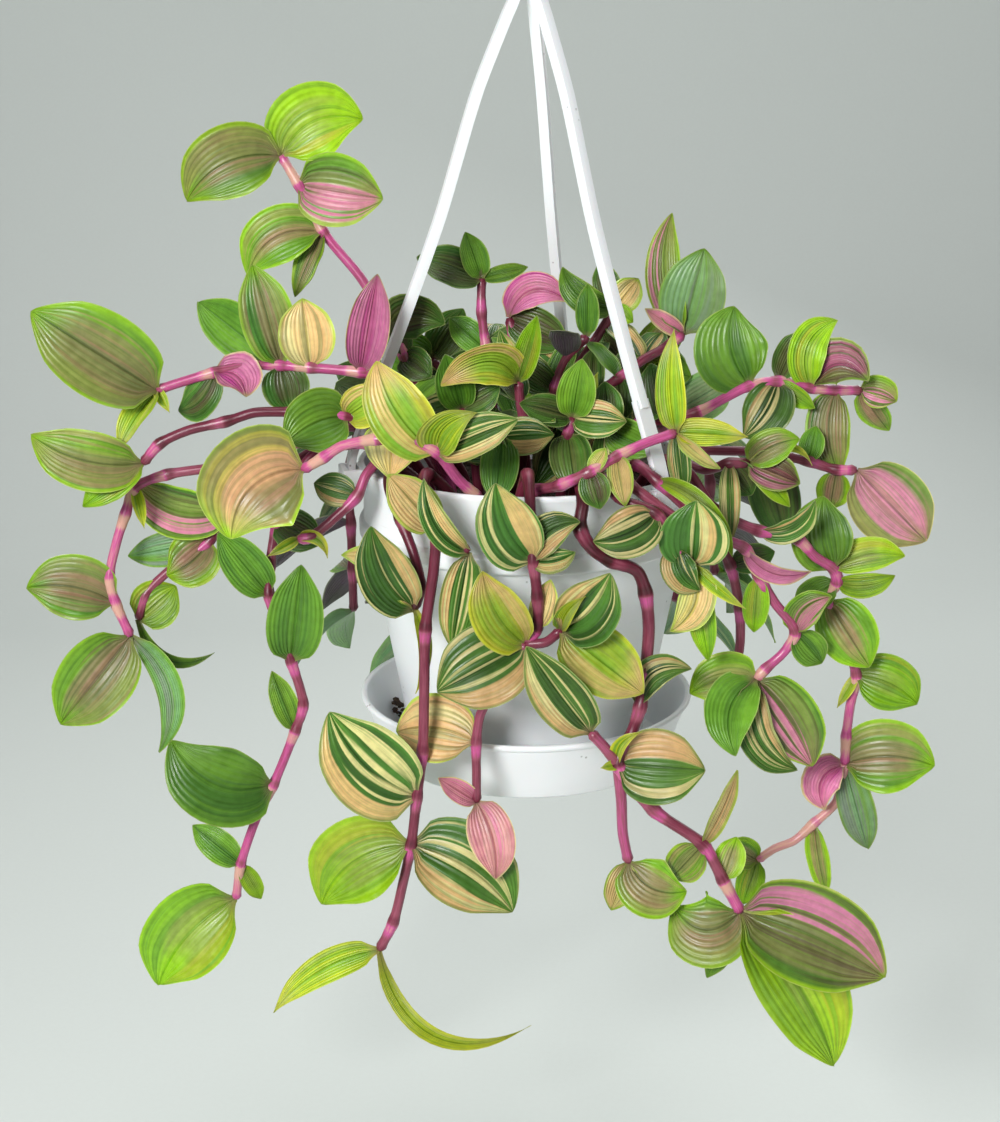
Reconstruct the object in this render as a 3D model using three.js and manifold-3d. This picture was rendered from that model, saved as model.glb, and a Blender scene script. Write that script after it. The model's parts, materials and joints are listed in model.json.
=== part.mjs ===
// A tradescantia in a white hanging pot: the pot, its saucer, the three-strap hanger with its hook, the soil,
// and every leafy stem as one body of its own. Millimetres, +Z up, the front of the pot towards -Y.
// The origin is the point where the hook bears on whatever it hangs from.
import * as THREE from "three";
import { mergeVertices } from "three/addons/utils/BufferGeometryUtils.js";
import Module from "manifold-3d";

const wasm = await Module();
wasm.setup();

// Hanger
const HOOK_TO_RIM = 262;
const HOOK_ROD = 3;
const HOOK_BEND = 9;
const HOOK_SHANK = [[0, 207.7], [1.5, 216.7], [9.5, 231], [12, 243]];
const HOOK_TIP = [[-12.5, 245], [-15, 238]];
const HOOK_SIDES = 8;
const HOOK_STEPS = 18;
const HUB_BOTTOM = 200.3;
const HUB_HEIGHT = 11.4;
const HUB_RADIUS = 10;
const HUB_SIDES = 16;
const STRAP_ANGLES = { left: 193.8, back: 73.8, front: -46.2 };
const STRAP_WIDTH = 5.2;
const STRAP_DEPTH = 5.6;
const STRAP_ROUTE = [[6, 199.6], [6.4, 195], [9.6, 188], [22.5, 157], [39, 105], [57, 58], [67.8, 31.5]];
const FOOT_ROUTE = [[66.4, 35], [76, 12], [79, 2], [79, -12]];
const FOOT_WIDTH = 8;
const FOOT_THICK = 3;
const BARB_WIDTH = 13;
const BARB_TOP = -9.6;
const BARB_HEIGHT = 5;

// Pot and saucer
const RIM_RADIUS = 75;
const POT_SIDES = 24;
const POT_OUTSIDE = [
  [0, -130], [46, -130], [46.5, -134.2], [51.5, -134.2], [53.5, -129], [71.2, -34.4], [75, -32.6],
  [75, -26.8], [73, -25.2], [72.7, -13], [75, -2], [74.2, 0],
];
const POT_INSIDE = [[72.2, 0], [71, -25], [69.5, -36], [52, -127.4], [0, -127.4]];
const EAR = {
  inner: 73.6, outer: 83.5, width: 16, height: 9, slotInner: 76.9, slotOuter: 81.3, slotWidth: 8.8,
};
const DRAIN_HOLES = 4;
const DRAIN_RADIUS = 4;
const DRAIN_CIRCLE = 30;
const DRAIN_SIDES = 8;
const SAUCER_PROFILE = [
  [0, -136.5], [64.2, -136.5], [65.2, -135.4], [73.8, -111.4], [75.8, -109.4], [74.4, -108], [72.4, -110],
  [63.4, -134.5], [0, -134.5],
];

// Soil
const SOIL_TOP = -15;
const SOIL_PROFILE = [
  [0, -127.1], [51.7, -127.1], [69.1, -36.2], [70.5, -26], [70.7, -18.6], [66, -16.6], [40, -15.2],
  [0, -13.5],
];
const ROOT_DEPTH = 13;
const TOUCH_GAP = 0.3;
const HOLE_RADIUS = 3.4;
const HOLE_SIDES = 5;

// Stems and leaves
const STEM_SIDES = 4;
const STEM_RADIUS = 2.25;
const BLADE_THICK = 0.9;
const CLEARANCE = 0.45;
const SHORT_LEAF = 36;
const MERGE_FACES = 0.25;
const BASE_REACH = 1.4;
const CHANNELLED_WIDTH = 38;
const FLAT_RISE = 0.45;
const CLASP_FOLD = 50;
const FOLD = { young: 40, pink: 20, half: 22 };
const PLAIN_FOLD = 14;
const TIP_TAPER = { young: 0.9, plain: 0.62 };
const BASE_TAPER = 0.48;
const BASE_START = 0.02;
const LEAST_REACH = 0.5;

// The front of the plant is laid out as it is seen from a point in front of the pot, at eye height, measured
// from the centre of the pot's rim. A seen place [x, z, near] lies on the line of sight through [x, z] on the
// upright plane through the pot's axis, "near" millimetres in front of that plane.
const EYE = new THREE.Vector3(-12, -800, 183);

function seen(x, z, near) {
  const share = near / -EYE.y;
  return new THREE.Vector3(x + (EYE.x - x) * share, -near, z + (EYE.z - z) * share);
}

// Each shoot: root [x, y] in the soil, in some the seen place where it comes up to the rim, the stem's seen
// places from there outwards, and its leaves.
// A leaf: [stem place it grows from, seen x and z of its tip, how far the tip stands ahead of its base,
// width as seen, roll, bend, sweep, kind]. A twig starts at a place of the main stem.
const SHOOTS = [
  {
    root: [-28, 6],
    stem: [[-46, 20, 0], [-54, 45, -4], [-59, 56, -6], [-72, 79, -10], [-88, 99, -14], [-98, 119, -16],
      [-105, 131, -18]],
    leaves: [
      [6, -70, 146, -4, 34, 0, 50, 0.2, "lime"],
      [6, -146, 112, 4, 32, 0, 50, -0.16, "mauve"],
      [5, -62, 113, 6, 34, -10, 40, 0, "half"],
      [4, -121, 80, 2, 26, 10, 60, -0.2, "mauve"],
      [4, -101, 71, 8, 13, 35, 20, 0, "mauve"],
      [2, -36, 59, 8, 22, 20, 50, 0.3, "dark"],
      [1, -42, 36, 10, 16, 0, 40, 0, "dark"],
    ],
  },
  {
    root: [-34, -8],
    stem: [[-52, 22, 14], [-66, 36, 23], [-73, 38, 24], [-95, 40, 22], [-108, 41, 20], [-122, 41, 22],
      [-137, 38, 24], [-154, 33, 26], [-163, 30, 27]],
    leaves: [
      [8, -216, 65, 8, 40, 0, 40, 0, "mauve"],
      [8, -182, 2, 6, 17, 30, 40, 0, "young"],
      [8, -158, 20, 5, 7, 0, 30, 0, "young"],
      [6, -124, 27, 8, 24, -30, 80, 0.2, "pink"],
      [6, -154, 21, -4, 18, 20, 50, 0.2, "dark"],
      [4, -104, 20, 3, 22, 0, 40, 0, "dark"],
      [4, -119, 85, -4, 25, 0, 35, 0, "mauve"],
      [2, -65, 81, 6, 20, 0, 25, 0, "pink"],
      [3, -98, 70, -6, 26, 0, 30, 0, "peach"],
      [4, -143, 69, -30, 24, 0, 30, 0, "green"],
    ],
  },
  {
    root: [-42, -20],
    stem: [[-60, 10, 30], [-80, 18, 32], [-100, 20, 34], [-120, 20, 35], [-133, 16, 36], [-150, 12, 37],
      [-163, 6, 38], [-171, -3, 38]],
    leaves: [
      [7, -220, 10, 4, 28, 0, 40, 0.1, "mauve"],
      [7, -199, -23, 8, 17, 20, 30, 0, "lime"],
      [0, -61, -10, 26, 26, 0, 60, 0, "peach"],
      [1, -107, 6, 14, 30, 0, 60, -0.1, "green"],
      [1, -62, 30, 6, 20, 0, 30, 0, "lime"],
    ],
  },
  {
    root: [-50, -10],
    stem: [[-70, 5.6, 29], [-84, 5, 30], [-105, 6, 24], [-135, -4, 22], [-160, -8, 23], [-175, -14, 24],
      [-180, -26, 26], [-185, -40, 28], [-189, -56, 30], [-187, -68, 31], [-181, -84, 32]],
    leaves: [
      [5, -172, -33, 4, 8, 0, 30, 0, "young"],
      [9, -227, -61, 4, 31, 0, 40, -0.1, "mauve"],
      [10, -216, -127, 8, 36, 0, 40, 0, "mauve"],
      [10, -171, -141, 2, 13, 0, 50, 0.2, "pale"],
    ],
  },
  {
    root: [-52, 14],
    stem: [[-70, 20, -6], [-84, 10, 0], [-112, -8, 10], [-134, -24, 10], [-143, -39, 12], [-162, -53, 16],
      [-173, -64, 18], [-177, -76, 20]],
    leaves: [
      [3, -176, -10, 4, 26, -15, 50, 0.15, "half"],
      [4, -163, -55, 8, 26, 10, 30, 0.1, "mauve"],
      [4, -180, -46, -4, 17, 0, 30, 0, "pale"],
      [7, -159, -60, -4, 24, 0, 30, 0, "lime"],
      [7, -143, -92, -6, 6, 0, 60, -0.3, "green"],
    ],
  },
  {
    root: [-18, -54],
    stem: [[-23, -18, 60], [-31, -10, 65], [-40, 2, 72], [-50, 7, 72], [-66, 8, 70], [-82, 5, 66],
      [-90, 0, 64], [-100, -6, 62]],
    leaves: [
      [7, -133, -38, 14, 50, 0, 55, -0.22, "mauve"],
      [2, -66, 43, -6, 29, 0, 40, 0.1, "lime"],
      [2, -22, 20, 4, 24, 10, 40, 0.2, "young"],
      [2, -4, 17, 12, 20, -10, 35, 0, "stripe"],
    ],
  },
  {
    root: [-4, -20],
    stem: [[-1, 12, 30], [-3, 24, 32], [-4, 34, 34]],
    leaves: [
      [2, -38, 32, 14, 21, -15, 50, -0.35, "lime"],
      [2, 4, 62, -4, 12, 0, 20, 0, "lime"],
      [2, -12, 56, -6, 12, 20, 30, 0, "stripe"],
    ],
  },
  {
    root: [-12, 6],
    stem: [[-16, 30, -12], [-18, 48, -16], [-20, 64, -18], [-20, 79, -20]],
    leaves: [
      [3, -48, 88, 6, 19, 20, 40, 0, "dark"],
      [3, -27, 99, -4, 13, 10, 20, 0, "green"],
      [3, 0, 84, -4, 8, 0, 30, 0, "green"],
      [1, -34, 62, -6, 14, 0, 30, 0, "green"],
    ],
  },
  {
    root: [0, 12],
    stem: [[-4, 36, -8], [-6, 52, -10], [-8, 62, -12]],
    leaves: [
      [2, 18, 69, 8, 17, -10, 60, 0.3, "pink"],
      [2, 18, 50, 6, 20, 0, 40, 0, "dark"],
      [1, 14, 38, 8, 18, 0, 30, 0, "stripe"],
    ],
  },
  {
    root: [10, -4],
    stem: [[12, 30, 10], [17, 44, 10], [26, 54, 12]],
    leaves: [
      [2, 26, 77, 0, 11, 0, 20, 0, "green"],
      [0, -8, 44, -4, 16, 0, 30, 0, "dark"],
    ],
  },
  {
    root: [16, 8],
    stem: [[21, 37, 2], [30, 53, 0], [38, 66, -2]],
    leaves: [
      [2, 15, 84, -4, 14, 10, 40, 0.2, "green"],
      [2, 31, 86, -8, 13, 0, 30, 0, "dark"],
      [2, 48, 79, -6, 15, 0, 40, 0, "peach"],
      [2, 46, 60, 6, 9, 0, 30, 0, "lime"],
    ],
  },
  {
    root: [18, -14],
    stem: [[22, 20, 14], [28, 27, 14], [40, 35, 10], [50, 43, 6], [62, 50, 2], [68, 55, 0]],
    leaves: [
      [5, 76, 92, 2, 30, 0, 30, 0, "pale"],
      [5, 61, 107, -6, 18, -10, 30, 0.1, "half"],
      [5, 51, 66, 4, 9, 0, 30, 0, "pink"],
      [0, 31, 38, 6, 12, 10, 20, 0, "young"],
      [0, 13, 17, 10, 8, 0, 20, 0, "young"],
      [0, 3, -14, 34, 29, 0, 40, 0.1, "stripe"],
      [2, 42, 16, 8, 16, 0, 40, 0, "dark"],
    ],
  },
  {
    root: [4, -60],
    stem: [[4, -16, 61], [9, -14.5, 68], [15, -13, 75.5], [28, -7, 79.5], [40, 0, 72], [52, 6, 68],
      [66, 11, 64]],
    leaves: [
      [6, 64, 57, -4, 18, 0, 25, 0.05, "young"],
      [6, 98, 9, 4, 17, -10, 40, 0, "young"],
      [6, 88, -4, 12, 9, 40, 30, 0, "peach"],
      [6, 70, -18, 6, 11, 0, 30, 0, "stripe"],
      [3, 35, 4, -4, 8, 0, 30, 0, "peach"],
      [3, 33, -24, 4, 15, 0, 30, 0, "dark"],
      [4, 44, -22, 4, 12, 0, 30, 0, "peach"],
    ],
  },
  {
    root: [36, -10],
    stem: [[48, 14, 22], [60, 17, 24], [75, 20, 24], [88, 27, 22], [98, 32, 20], [110, 34, 18], [125, 31, 16],
      [136, 30, 14], [147, 30, 12]],
    leaves: [
      [4, 90, 67, -6, 34, 0, 35, 0.15, "green"],
      [5, 119, 56, -14, 14, 0, 30, 0, "dark"],
      [6, 135, 61, -6, 18, 0, 60, 0.3, "lime"],
      [6, 150, 34, 8, 24, -10, 60, 0.35, "half"],
      [8, 163, 25, 4, 16, 0, 50, 0.1, "half"],
      [8, 160, 8, 2, 15, 20, 40, 0, "mauve"],
      [7, 140, -9, 8, 21, 10, 40, -0.1, "mauve"],
      [5, 96, 9, 6, 23, 0, 40, 0.1, "stripe"],
      [5, 127, 22, 4, 10, 20, 30, 0, "lime"],
      [1, 54, 42, -6, 18, 0, 30, 0, "dark"],
    ],
  },
  {
    root: [50, -24],
    stem: [[65.5, -2.3, 36], [80, -6, 44], [90, -3, 48], [99, -3, 48]],
    leaves: [
      [3, 121, 8, 4, 17, 0, 40, 0.1, "mauve"],
      [3, 122, -12, 8, 19, -10, 40, 0, "half"],
      [3, 118, -23, 6, 10, 0, 30, 0, "lime"],
      [3, 127, -4, -6, 6, 20, 60, 0.3, "young"],
      [2, 101, -18, 2, 16, 0, 40, 0, "dark"],
      [2, 92, -40, 12, 10, 0, 30, 0, "stripe"],
    ],
  },
  {
    root: [54, -12],
    stem: [[70, 4, 19], [80, 3, 22], [105, 2, 24], [125, -2, 26], [138, -6, 28], [147, -6, 29]],
    leaves: [
      [5, 180, -39, 4, 38, 0, 35, 0, "half"],
      [4, 136, -24, -4, 16, 0, 30, 0, "mauve"],
      [2, 116, -36, -6, 24, 0, 40, 0, "dark"],
      [3, 128, 14, -4, 12, 0, 30, 0, "green"],
    ],
  },
  {
    root: [44, -34],
    stem: [[60.5, -2, 44.5], [71.5, -6.6, 53], [84, -24, 57], [104, -34, 56], [122, -38, 54], [130, -46, 52],
      [139, -52, 50], [141, -58, 49], [137, -67, 46], [145, -85, 44], [152, -103, 44], [150, -118, 44],
      [149, -133, 45], [149, -147, 46]],
    leaves: [
      [6, 133, -18, -6, 29, 0, 40, 0.1, "green"],
      [6, 171, -46, 4, 17, -10, 40, 0.1, "lime"],
      [7, 167, -55, 10, 12, 10, 40, -0.1, "lime"],
      [3, 129, -20, 8, 13, 30, 40, -0.2, "stripe"],
      [8, 158, -99, 10, 28, 0, 35, 0, "mauve"],
      [7, 122, -70, -8, 16, 0, 30, 0, "green"],
      [10, 181, -117, 6, 27, 0, 50, 0.1, "lime"],
      [10, 144, -119, 2, 7, 0, 30, 0, "young"],
      [13, 191, -148, 8, 36, 0, 50, 0.1, "mauve"],
      [13, 162, -190, -6, 18, 0, 40, 0, "pale"],
      [13, 141, -170, 6, 20, 0, 60, -0.3, "pink"],
    ],
    twigs: [
      {
        from: 13,
        stem: [[146, -166, 44], [136, -177, 44], [127, -186, 45], [118, -190, 46], [110, -196, 47]],
        leaves: [
          [2, 144, -214, 4, 12, 20, 30, 0, "mauve"],
          [5, 104, -219, 4, 14, 0, 40, 0, "lime"],
          [5, 95, -187, 0, 16, 0, 40, 0, "mauve"],
        ],
      },
    ],
  },
  {
    root: [32, -48],
    stem: [[41, -7, 63], [49, -15, 74], [76, -34, 76], [98, -42, 72], [105, -55, 68], [113, -68, 66],
      [123, -82, 64], [118, -92, 64], [110, -100, 65], [106, -105, 66]],
    leaves: [
      [6, 139, -65, 6, 17, 10, 40, 0.2, "half"],
      [6, 136, -97, -4, 17, 0, 40, 0, "green"],
      [3, 129, -53, 6, 10, 20, 30, -0.2, "pink"],
      [4, 104, -82, -8, 13, 0, 30, 0, "lime"],
      [9, 134, -148, 8, 32, 0, 35, 0.05, "half"],
      [9, 98, -143, 6, 25, 0, 40, -0.2, "green"],
      [9, 76, -112, 4, 26, 0, 40, -0.1, "mauve"],
      [9, 128, -152, -6, 20, 0, 60, -0.3, "stripe"],
    ],
  },
  {
    root: [38, -40],
    stem: [[48, -4, 57.5], [58, -11, 66], [82, -34, 66], [92, -50, 62], [97, -70, 58], [98, -86, 56],
      [97, -98, 54]],
    leaves: [
      [1, 93, -46, 14, 10, 20, 60, 0.2, "lime"],
      [6, 84, -126, 2, 14, 0, 40, 0, "mauve"],
      [3, 112, -44, -6, 14, 0, 30, 0, "dark"],
    ],
  },
  {
    root: [26, -54],
    crown: [32.5, -10, 64],
    stem: [[35, -10, 69.5], [41, -19, 80], [58, -26, 84], [68, -42, 84], [75, -50, 84]],
    leaves: [
      [4, 76, -20, 4, 33, 0, 35, 0, "stripe"],
      [2, 30, -39, 6, 24, 0, 40, 0.1, "stripe"],
      [3, 79, -62, 6, 17, 0, 50, -0.2, "stripe"],
      [4, 100, -71, 8, 9, 20, 30, 0, "young"],
      [4, 66, -82, 0, 18, 0, 60, 0.2, "peach"],
      [4, 84, -97, 2, 14, 0, 40, 0, "lime"],
    ],
  },
  {
    root: [18, -56],
    crown: [22.5, -11, 66],
    stem: [[24, -11, 71.5], [25, -22, 82], [24, -33, 86], [30, -43, 88], [38, -48, 88], [50, -53, 88],
      [54, -63, 88],
      [56, -80, 88], [55, -100, 88], [53, -118, 90], [48, -135, 92], [43, -147, 94], [60, -170, 96],
      [84, -188, 98], [94, -206, 98], [103, -223, 98]],
    leaves: [
      [11, 84, -150, 6, 37, 0, 35, 0, "stripe"],
      [11, 54, -131, 6, 9, 0, 40, 0.2, "young"],
      [11, 35, -149, 4, 7, 0, 30, 0, "young"],
      [13, 99, -150, 4, 10, 30, 30, 0, "peach"],
      [13, 70, -205, -10, 20, 0, 30, 0, "mauve"],
      [14, 100, -184, -8, 16, 0, 30, 0, "mauve"],
      [15, 71, -220, -6, 38, 0, 40, 0.3, "mauve"],
      [15, 174, -258, 10, 52, 0, 35, 0.05, "half"],
      [15, 152, -306, 12, 44, -10, 40, 0.05, "lime"],
      [15, 88, -258, 0, 14, 0, 30, 0, "green"],
      [9, 76, -100, -4, 16, 0, 60, 0.3, "stripe"],
    ],
    twigs: [
      {
        from: 11,
        stem: [[45, -165, 92], [46, -182, 90], [49, -197, 90]],
        leaves: [
          [3, 77, -212, 6, 30, 0, 50, -0.2, "mauve"],
          [3, 41, -222, 4, 16, 0, 40, 0, "peach"],
        ],
      },
      {
        from: 11,
        stem: [[37, -139, 95], [30, -131, 96]],
        leaves: [
          [2, 0, -89, 8, 27, 0, 30, 0, "stripe"],
        ],
      },
    ],
  },
  {
    root: [-5, -60],
    stem: [[0, -8, 68], [1, -14, 76], [2, -30, 86], [3, -48, 88], [5, -65, 88], [5, -80, 88], [0, -88, 89]],
    leaves: [
      [3, -14, -12, 6, 30, 0, 40, 0.1, "stripe"],
      [3, 24, -30, 4, 18, 0, 50, 0.2, "stripe"],
      [3, 22, -44, 4, 12, 0, 40, -0.1, "stripe"],
      [6, -41, -111, 8, 40, 0, 40, 0, "stripe"],
      [6, -20, -53, 6, 27, 0, 35, 0.1, "lime"],
      [5, 11, -57, -4, 13, 0, 30, 0, "peach"],
    ],
    twigs: [
      {
        from: 6,
        stem: [[9, -87, 91], [16, -81, 93]],
        leaves: [
          [2, 54, -112, 6, 32, 0, 35, 0, "lime"],
          [2, 27, -65, 6, 11, 0, 30, 0.1, "young"],
          [2, 38, -54, -6, 30, 0, 30, -0.1, "stripe"],
        ],
      },
      {
        from: 6,
        stem: [[-12, -105, 86], [-21, -122, 86], [-23, -136, 87], [-23, -152, 88], [-23, -166, 88]],
        leaves: [
          [3, -60, -131, -4, 34, 0, 40, -0.1, "peach"],
          [5, -14, -206, 8, 24, 10, 30, 0.1, "pink"],
          [5, -41, -154, 4, 12, 0, 30, 0, "pink"],
        ],
      },
    ],
  },
  {
    root: [-29, -49],
    stem: [[-44, -8, 60], [-46, -16, 72], [-41, -33, 84], [-42, -52, 86], [-46, -80, 87], [-47, -112, 88],
      [-48, -140, 89], [-51, -163, 90], [-54, -188, 90], [-58, -207, 91], [-63, -228, 92], [-70, -243, 92]],
    leaves: [
      [2, -62, -8, 4, 22, 0, 30, 0, "peach"],
      [7, -91, -121, 6, 42, 0, 40, 0.1, "stripe"],
      [8, -97, -219, -6, 42, 0, 40, -0.15, "lime"],
      [8, -6, -223, 8, 42, 0, 50, 0.1, "stripe"],
      [11, -122, -277, 4, 21, 0, 25, -0.1, "young"],
      [11, 3, -284, 10, 11, 0, 60, -0.3, "young"],
    ],
    twigs: [
      {
        from: 2,
        stem: [[-33, -38, 86], [-26, -44, 87]],
        leaves: [
          [2, -46, -10, 4, 14, 20, 40, 0.2, "stripe"],
          [2, -34, -90, -2, 20, 0, 30, 0, "stripe"],
        ],
      },
    ],
  },
  {
    root: [-39, -40],
    stem: [[-58, -4, 46], [-62, -12, 56], [-57, -28, 70], [-51, -45, 78], [-48, -60, 79], [-51, -71, 80]],
    leaves: [
      [5, -70, -32, 8, 27, 0, 35, 0.1, "stripe"],
      [5, -83, -46, 2, 19, 0, 40, -0.2, "peach"],
      [5, -51, -112, 2, 9, 0, 20, 0.1, "young"],
    ],
  },
  {
    root: [-50, -26],
    stem: [[-62.5, 0, 39], [-71.5, -8, 47], [-76, -18, 50], [-85, -27, 52], [-97, -37, 54], [-103, -38, 54]],
    leaves: [
      [5, -90, -47, 4, 8, 0, 50, 0.3, "young"],
      [5, -117, -46, 0, 7, 0, 30, 0, "young"],
      [2, -95, -12, -6, 16, 0, 30, 0, "stripe"],
    ],
  },
  {
    root: [-58, 0],
    stem: [[-76, 14, 6], [-90, 6, 10], [-104, -10, 16], [-112, -30, 20], [-116, -50, 24], [-117, -64, 26],
      [-113, -80, 27], [-108, -96, 28], [-103, -117, 29], [-107, -130, 30], [-118, -157, 31],
      [-127, -175, 32], [-135, -198, 33], [-138, -216, 34]],
    leaves: [
      [5, -139, -35, 4, 21, 0, 30, 0, "green"],
      [7, -102, -50, 8, 27, 0, 30, 0, "green"],
      [9, -117, -101, -4, 13, 0, 30, 0, "green"],
      [10, -165, -135, 6, 38, 0, 50, 0.2, "green"],
      [12, -157, -178, -6, 16, 0, 30, 0, "green"],
      [12, -126, -216, -4, 10, 0, 30, 0, "lime"],
      [13, -177, -262, 8, 42, 0, 40, -0.1, "lime"],
      [3, -92, -40, 10, 20, 0, 40, 0, "dark"],
    ],
  },
  {
    root: [-21, -31],
    stem: [[-24, 4, 32], [-27, 14, 33], [-29, 22, 34]],
    leaves: [
      [2, -52, 14, 8, 20, 0, 40, 0, "stripe"],
      [2, -12, 32, 4, 16, 0, 40, 0, "dark"],
      [2, -36, 46, -6, 18, 0, 30, 0, "green"],
      [1, -22, -4, 14, 18, 0, 40, 0, "stripe"],
    ],
  },
  {
    root: [-6, -38],
    stem: [[-8, 0, 41], [-11, 9, 43]],
    leaves: [
      [1, -32, 2, 8, 18, 0, 40, 0, "dark"],
      [1, 12, 10, 8, 18, 0, 40, 0, "stripe"],
      [1, -14, -22, 16, 18, 0, 40, 0, "green"],
    ],
  },
  {
    root: [14, -33],
    stem: [[16, 2, 36], [18, 10, 38], [20, 18, 38]],
    leaves: [
      [2, -4, 24, 4, 15, 0, 30, 0, "dark"],
      [2, 44, 16, 8, 18, 0, 40, 0, "stripe"],
      [2, 24, 44, -4, 18, 0, 30, 0, "green"],
      [1, 22, -16, 16, 20, 0, 40, 0, "dark"],
    ],
  },
  {
    root: [27, -26],
    stem: [[31, 4, 30], [36, 12, 31]],
    leaves: [
      [1, 58, 2, 10, 18, 0, 40, 0, "green"],
      [1, 34, 34, -4, 16, 0, 30, 0, "dark"],
      [1, 40, -14, 12, 18, 0, 40, 0, "stripe"],
    ],
  },
  {
    root: [30, 16],
    stem: [[35, 26, -16], [43, 36, -20], [49, 42, -22]],
    leaves: [
      [2, 32, 60, 4, 18, 0, 40, 0, "dark"],
      [2, 72, 36, 4, 20, 0, 40, 0, "green"],
      [2, 68, 64, -6, 18, 0, 40, 0, "mauve"],
      [1, 46, 12, 8, 18, 0, 40, 0, "stripe"],
    ],
  },
  {
    root: [-23, 24],
    stem: [[-28, 26, -26], [-36, 36, -30], [-42, 44, -32]],
    leaves: [
      [2, -66, 50, 6, 20, 0, 40, 0, "green"],
      [2, -28, 66, -4, 18, 0, 40, 0, "dark"],
      [1, -54, 22, 8, 18, 0, 40, 0, "stripe"],
      [1, -14, 44, 4, 18, 0, 40, 0, "dark"],
    ],
  },
  {
    root: [8, 30],
    stem: [[7, 22, -32], [5, 34, -34]],
    leaves: [
      [1, -16, 36, 4, 18, 0, 40, 0, "green"],
      [1, 28, 38, 4, 18, 0, 40, 0, "dark"],
      [1, 4, 60, -4, 18, 0, 40, 0, "mauve"],
    ],
  },
];

// The side away from the eye: [direction round the pot in degrees, how far the shoot trails below the rim].
const BACK_SHOOTS = [[22, 75], [42, 100], [94, 85], [113, 110], [134, 70], [154, 90]];
const BACK_ROOT_RADIUS = 46;
const BACK_CROWN = [[57, 3], [68, 13], [78, 12.5], [86, 3]];
const BACK_STEP = 22;
const BACK_SWING = 5;
const BACK_LEAF = { length: 40, spread: 14, width: 17, more: 6, bend: 45 };
const BACK_KINDS = ["mauve", "green", "stripe", "lime", "dark"];

// A leaf that would touch a neighbour is tried again a little further forward or back, rolled about its own
// axis, turned or shorter: [ahead, roll, turn, size].
const TRIES = [
  [0, 0, 0, 1], [6, 0, 0, 1], [-6, 0, 0, 1], [12, 0, 0, 1], [-12, 0, 0, 1], [0, 15, 0, 1], [0, -15, 0, 1],
  [8, 15, 0, 1], [8, -15, 0, 1], [-8, 15, 0, 1], [-8, -15, 0, 1], [20, 0, 0, 1], [-20, 0, 0, 1],
  [0, 0, 8, 1], [0, 0, -8, 1], [12, 0, 8, 1], [12, 0, -8, 1], [-12, 0, 8, 1], [-12, 0, -8, 1],
  [16, 20, 0, 0.95], [16, -20, 0, 0.95], [-16, 20, 0, 0.95], [-16, -20, 0, 0.95], [28, 0, 0, 0.95],
  [0, 35, 0, 0.9], [0, -35, 0, 0.9], [10, 35, 8, 0.9], [10, -35, -8, 0.9], [10, 0, 16, 0.9],
  [10, 0, -16, 0.9],
  [-10, 0, 16, 0.85], [-10, 0, -16, 0.85], [24, 20, 12, 0.85], [24, -20, -12, 0.85], [0, 0, 0, 0.8],
  [12, 0, 0, 0.75], [-12, 0, 0, 0.75], [0, 30, 0, 0.75], [0, -30, 0, 0.75], [20, 0, 20, 0.75],
  [20, 0, -20, 0.75],
];
const OWN_STEM_LEAST = 0.4;
const OWN_STEM_MOST = 45;
const OWN_LEAF_MOST = 26;

const radians = THREE.MathUtils.degToRad;

// A closed solid of a three.js geometry, whichever way round its faces run.
function solidOf(geometry) {
  const plain = new THREE.BufferGeometry();
  plain.setAttribute("position", geometry.getAttribute("position").clone());
  plain.setIndex(geometry.index);
  const merged = mergeVertices(plain, 1e-4);
  const faces = [];
  const index = merged.index.array;
  for (let i = 0; i < index.length; i += 3) {
    const [a, b, c] = [index[i], index[i + 1], index[i + 2]];
    if (a !== b && b !== c && c !== a) {
      faces.push([a, b, c]);
    }
  }
  const build = (list) => new wasm.Manifold(new wasm.Mesh({
    numProp: 3,
    vertProperties: new Float32Array(merged.getAttribute("position").array),
    triVerts: new Uint32Array(list.flat()),
  }));
  const made = build(faces);
  if (made.volume() > 0) {
    return made;
  }
  return build(faces.map(([a, b, c]) => [a, c, b]));
}

// One body of several: a hollow closed in between them is filled, and a loose scrap is left out.
function joined(solids) {
  const bodies = wasm.Manifold.union(solids).simplify(MERGE_FACES).decompose();
  return bodies.reduce((biggest, body) => (body.volume() > biggest.volume() ? body : biggest));
}

function commonVolume(a, b) {
  const common = a.intersect(b);
  const volume = common.volume();
  common.delete();
  return volume;
}

// A body of revolution about the upright axis, from a closed profile of [radius, height].
function turned(profile, sides = POT_SIDES) {
  const points = profile.map(([r, z]) => new THREE.Vector2(r, z));
  const lathe = new THREE.LatheGeometry(points, sides);
  lathe.rotateX(Math.PI / 2);
  return solidOf(lathe);
}

function block(width, depth, height, x, y, z) {
  const box = new THREE.BoxGeometry(width, depth, height);
  box.translate(x, y, z);
  return box;
}

function outlineOf(width, depth) {
  const shape = new THREE.Shape();
  shape.moveTo(-width / 2, -depth / 2);
  shape.lineTo(width / 2, -depth / 2);
  shape.lineTo(width / 2, depth / 2);
  shape.lineTo(-width / 2, depth / 2);
  shape.closePath();
  return shape;
}

function roundOutline(radius, sides) {
  const shape = new THREE.Shape();
  for (let i = 0; i < sides; i += 1) {
    const angle = (i / sides) * 2 * Math.PI;
    const [x, y] = [radius * Math.cos(angle), radius * Math.sin(angle)];
    if (i === 0) {
      shape.moveTo(x, y);
    } else {
      shape.lineTo(x, y);
    }
  }
  shape.closePath();
  return shape;
}

function swept(shape, points, steps) {
  const path = new THREE.CatmullRomCurve3(points, false, "centripetal");
  return new THREE.ExtrudeGeometry(shape, { steps, bevelEnabled: false, extrudePath: path });
}

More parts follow.
